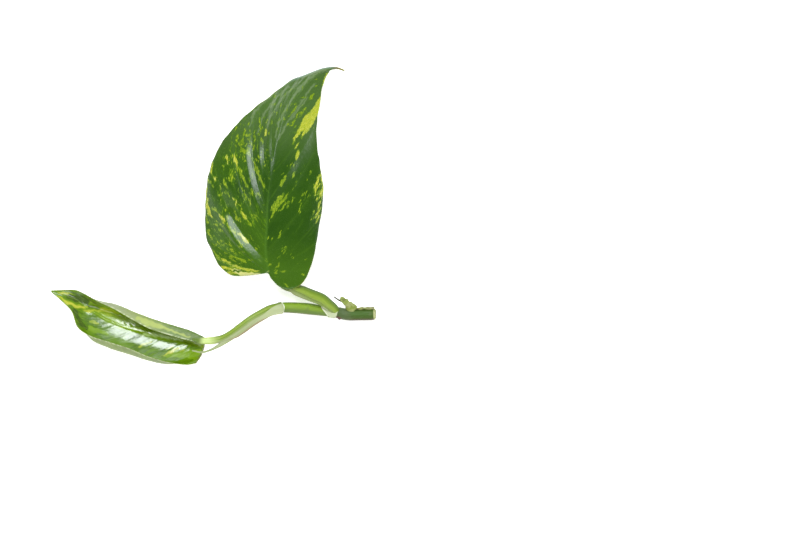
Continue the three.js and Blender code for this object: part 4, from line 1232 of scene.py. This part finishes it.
large_core = without_cut(tube(PETIOLE_LARGE, 140, 48, swell=groove_swell(*LARGE_GROOVE)))
piece("large_leaf_stalk", large_core, large_petiole_paint(), "petiole_large")

small_core = without_cut(tube(PETIOLE_SMALL, 140, 48, swell=groove_swell(*SMALL_GROOVE)))
piece("small_leaf_stalk", small_core, small_petiole_paint(), "petiole_small")


def collar_ends(part):
    angle = COLLAR_ANGLES[0] + (COLLAR_ANGLES[1] - COLLAR_ANGLES[0]) * part
    rise = smooth(1 - np.cos(np.maximum(angle, 0)), -0.2, 1.8)
    left = COLLAR_LEFT_X[0] + (COLLAR_LEFT_X[1] - COLLAR_LEFT_X[0]) * rise
    round_corner = np.sqrt(np.clip((part - 0.2) / 0.45, 0, 1))
    return COLLAR_RIGHT_X[0] + (COLLAR_RIGHT_X[1] - COLLAR_RIGHT_X[0]) * round_corner, left


def pale_triangle(shape):
    """Near 1 on the pale part of the large sheath, below the petiole, and above 1 on its rim."""
    beyond = (shape.points[:, :2] - TRIANGLE_CORNER) @ TRIANGLE_OUT
    area = smooth(beyond, -0.9, 0.0) * smooth(shape.points[:, 1], TRIANGLE_TOP + 0.9, TRIANGLE_TOP + 0.2)
    rim = smooth(shape.marks["reach"], 0.86, 0.97)
    return area * (0.52 + 0.48 * rim)


collar = stem_wrap(COLLAR_ANGLES, collar_ends, 36, 30, COLLAR_THICKNESS, COLLAR_LIFT)
large_wing = wing(PETIOLE_LARGE, LARGE_WING_SPAN, LARGE_WING_TOP)
large_sheath = without_cut(large_wing + collar + free_tip(LARGE_WING_TIP, 30))
large_sheath.marks["pale"] = pale_triangle(large_sheath)
large_sheath_look = sheath_paint("large_sheath", LARGE_SHEATH, "pale")
piece("large_leaf_sheath", large_sheath, large_sheath_look, "sheath_large")

disc = tube(DISC, 24, 40)
disc.points[:, 0] += DISC_ARCH * (disc.marks["height"] - 0.7) * (1 - disc.marks["along"])
disc.marks["rim"] = 1 - smooth(disc.marks["along"], 0.3, 0.7)
disc.marks["along"] = disc.marks["along"] * 0
small_wing = wing(PETIOLE_SMALL, SMALL_WING_SPAN, SMALL_WING_TOP)
small_sheath = without_cut(small_wing + disc + free_tip(SMALL_WING_TIP, 40))
small_sheath_look = sheath_paint("small_sheath", SMALL_SHEATH, "rim")
piece("small_leaf_sheath", small_sheath, small_sheath_look, "sheath_small")


def strip_ends(part):
    ragged = wobble(np.stack([part * 9, part * 0, part * 0], axis=-1), 3, 8)
    return STRIP_X[0] - 0.3 * np.abs(ragged), STRIP_X[1] + 0.7 * np.abs(ragged)


def old_stalk():
    """The torn stub, its dried sliver and loose fibres along its upper edge."""
    stub = tube(OLD_STUB, 60, 40)
    out = stub.points - stub.points.mean(axis=0)
    stub.points = stub.points + unit(out) * (STUB_RAG * wobble(stub.points, 1.5, 31))[:, None]
    sliver = tube(OLD_SLIVER, 24, 12)
    stub.marks["dry"] = np.zeros(len(stub.points))
    sliver.marks["dry"] = np.ones(len(sliver.points))
    whole = stub + sliver
    draw = np.random.default_rng(17)
    edge = spline(OLD_EDGE)
    for share in np.linspace(0.02, 0.95, FIBRE_COUNT):
        start = edge(share)[:3] + draw.normal(0, 0.1, 3)
        lean = np.array([-0.5, 0.6, 0.1]) + draw.normal(0, 0.45, 3)
        tip = start + unit(lean) * draw.uniform(0.4, 1.1)
        middle = (start + tip) / 2 + draw.normal(0, 0.06, 3)
        fibre = tube([(*start, 0.16, 0.14), (*middle, 0.12, 0.1), (*tip, 0.03, 0.03)], 6, 6)
        fibre.marks["dry"] = np.full(len(fibre.points), draw.uniform(-0.2, 0.5))
        whole = whole + fibre
    return whole


strip = stem_wrap(STRIP_ANGLES, strip_ends, 14, 70, STRIP_THICKNESS, STRIP_LIFT)
strip.points[:, 1:] += STRIP_RAG * wobble(strip.points, 1.8, 23)[:, None]
strip.marks["dry"] = 0.3 + 0.25 * wobble(strip.points, 1.6, 29)
piece("old_leaf_stalk", old_stalk() + strip, old_paint(), "old_petiole")

piece("large_leaf", large_blade(), large_leaf_paint(), "blade_large")
piece("small_leaf", small_blade(), small_leaf_paint(), "blade_small")

# Floor, in metres
FLOOR_REACH = 3
FLOOR_DROP = 0.0001  # below the solids
floor_mesh = bpy.data.meshes.new("floor")
floor_corners = [(x * FLOOR_REACH, y * FLOOR_REACH, 0) for x, y in ((-1, -1), (1, -1), (1, 1), (-1, 1))]
floor_mesh.from_pydata(floor_corners, [], [(0, 1, 2, 3)])
floor = add_object("floor", floor_mesh)
floor.location.z = -FLOOR_DROP
floor_paint = Paint("floor")
floor_mesh.materials.append(floor_paint.finish((0.9, 0.9, 0.9), 0.9, specular=0.1))
floor_paint.shader.inputs["Emission Color"].default_value = (1.0, 1.0, 1.0, 1.0)
floor_paint.shader.inputs["Emission Strength"].default_value = 0.62


# Lights, in metres and watts
LIGHT_AIM = Vector((0.02, 0.0, 0.0))
COOL = (0.97, 1.0, 1.05)
WHITE = (1.0, 1.0, 1.0)
LIGHTS = [
    ("key", (-0.04, 0.70, 1.70), 0.60, 0.90, 34, COOL),
    ("back", (-0.20, 1.52, 0.96), 0.9, 0.4, 3.5, COOL),
    ("fill", (0.10, -1.50, 0.90), 1.4, 0.6, 13, WHITE),
    ("left_side", (-1.60, -0.20, 0.70), 0.5, 1.2, 3.5, WHITE),
    ("right_side", (1.70, -0.20, 0.70), 0.5, 1.2, 7, WHITE),
]
for name, location, width, height, power, colour in LIGHTS:
    light = bpy.data.lights.new(name, "AREA")
    light.shape = "RECTANGLE"
    light.size, light.size_y = width, height
    light.energy = power
    light.color = colour
    made = add_object(name, light)
    made.location = location
    aim = LIGHT_AIM - made.location
    made.rotation_euler = aim.to_track_quat("-Z", "Y").to_euler()

world = bpy.data.worlds.new("studio")
world.use_nodes = True
world.node_tree.nodes["Background"].inputs["Color"].default_value = (1.0, 1.0, 0.82, 1.0)
world.node_tree.nodes["Background"].inputs["Strength"].default_value = 0.36
bpy.context.scene.world = world
bpy.context.scene.view_settings.view_transform = "Standard"

camera = bpy.data.cameras.new("camera")
camera.lens = LENS
camera.sensor_width = SENSOR
camera.clip_end = 20
camera_object = add_object("camera", camera)
camera_object.location = (CAMERA_X * MM, CAMERA_Y * MM, CAMERA_HEIGHT * MM)
bpy.context.scene.camera = camera_object
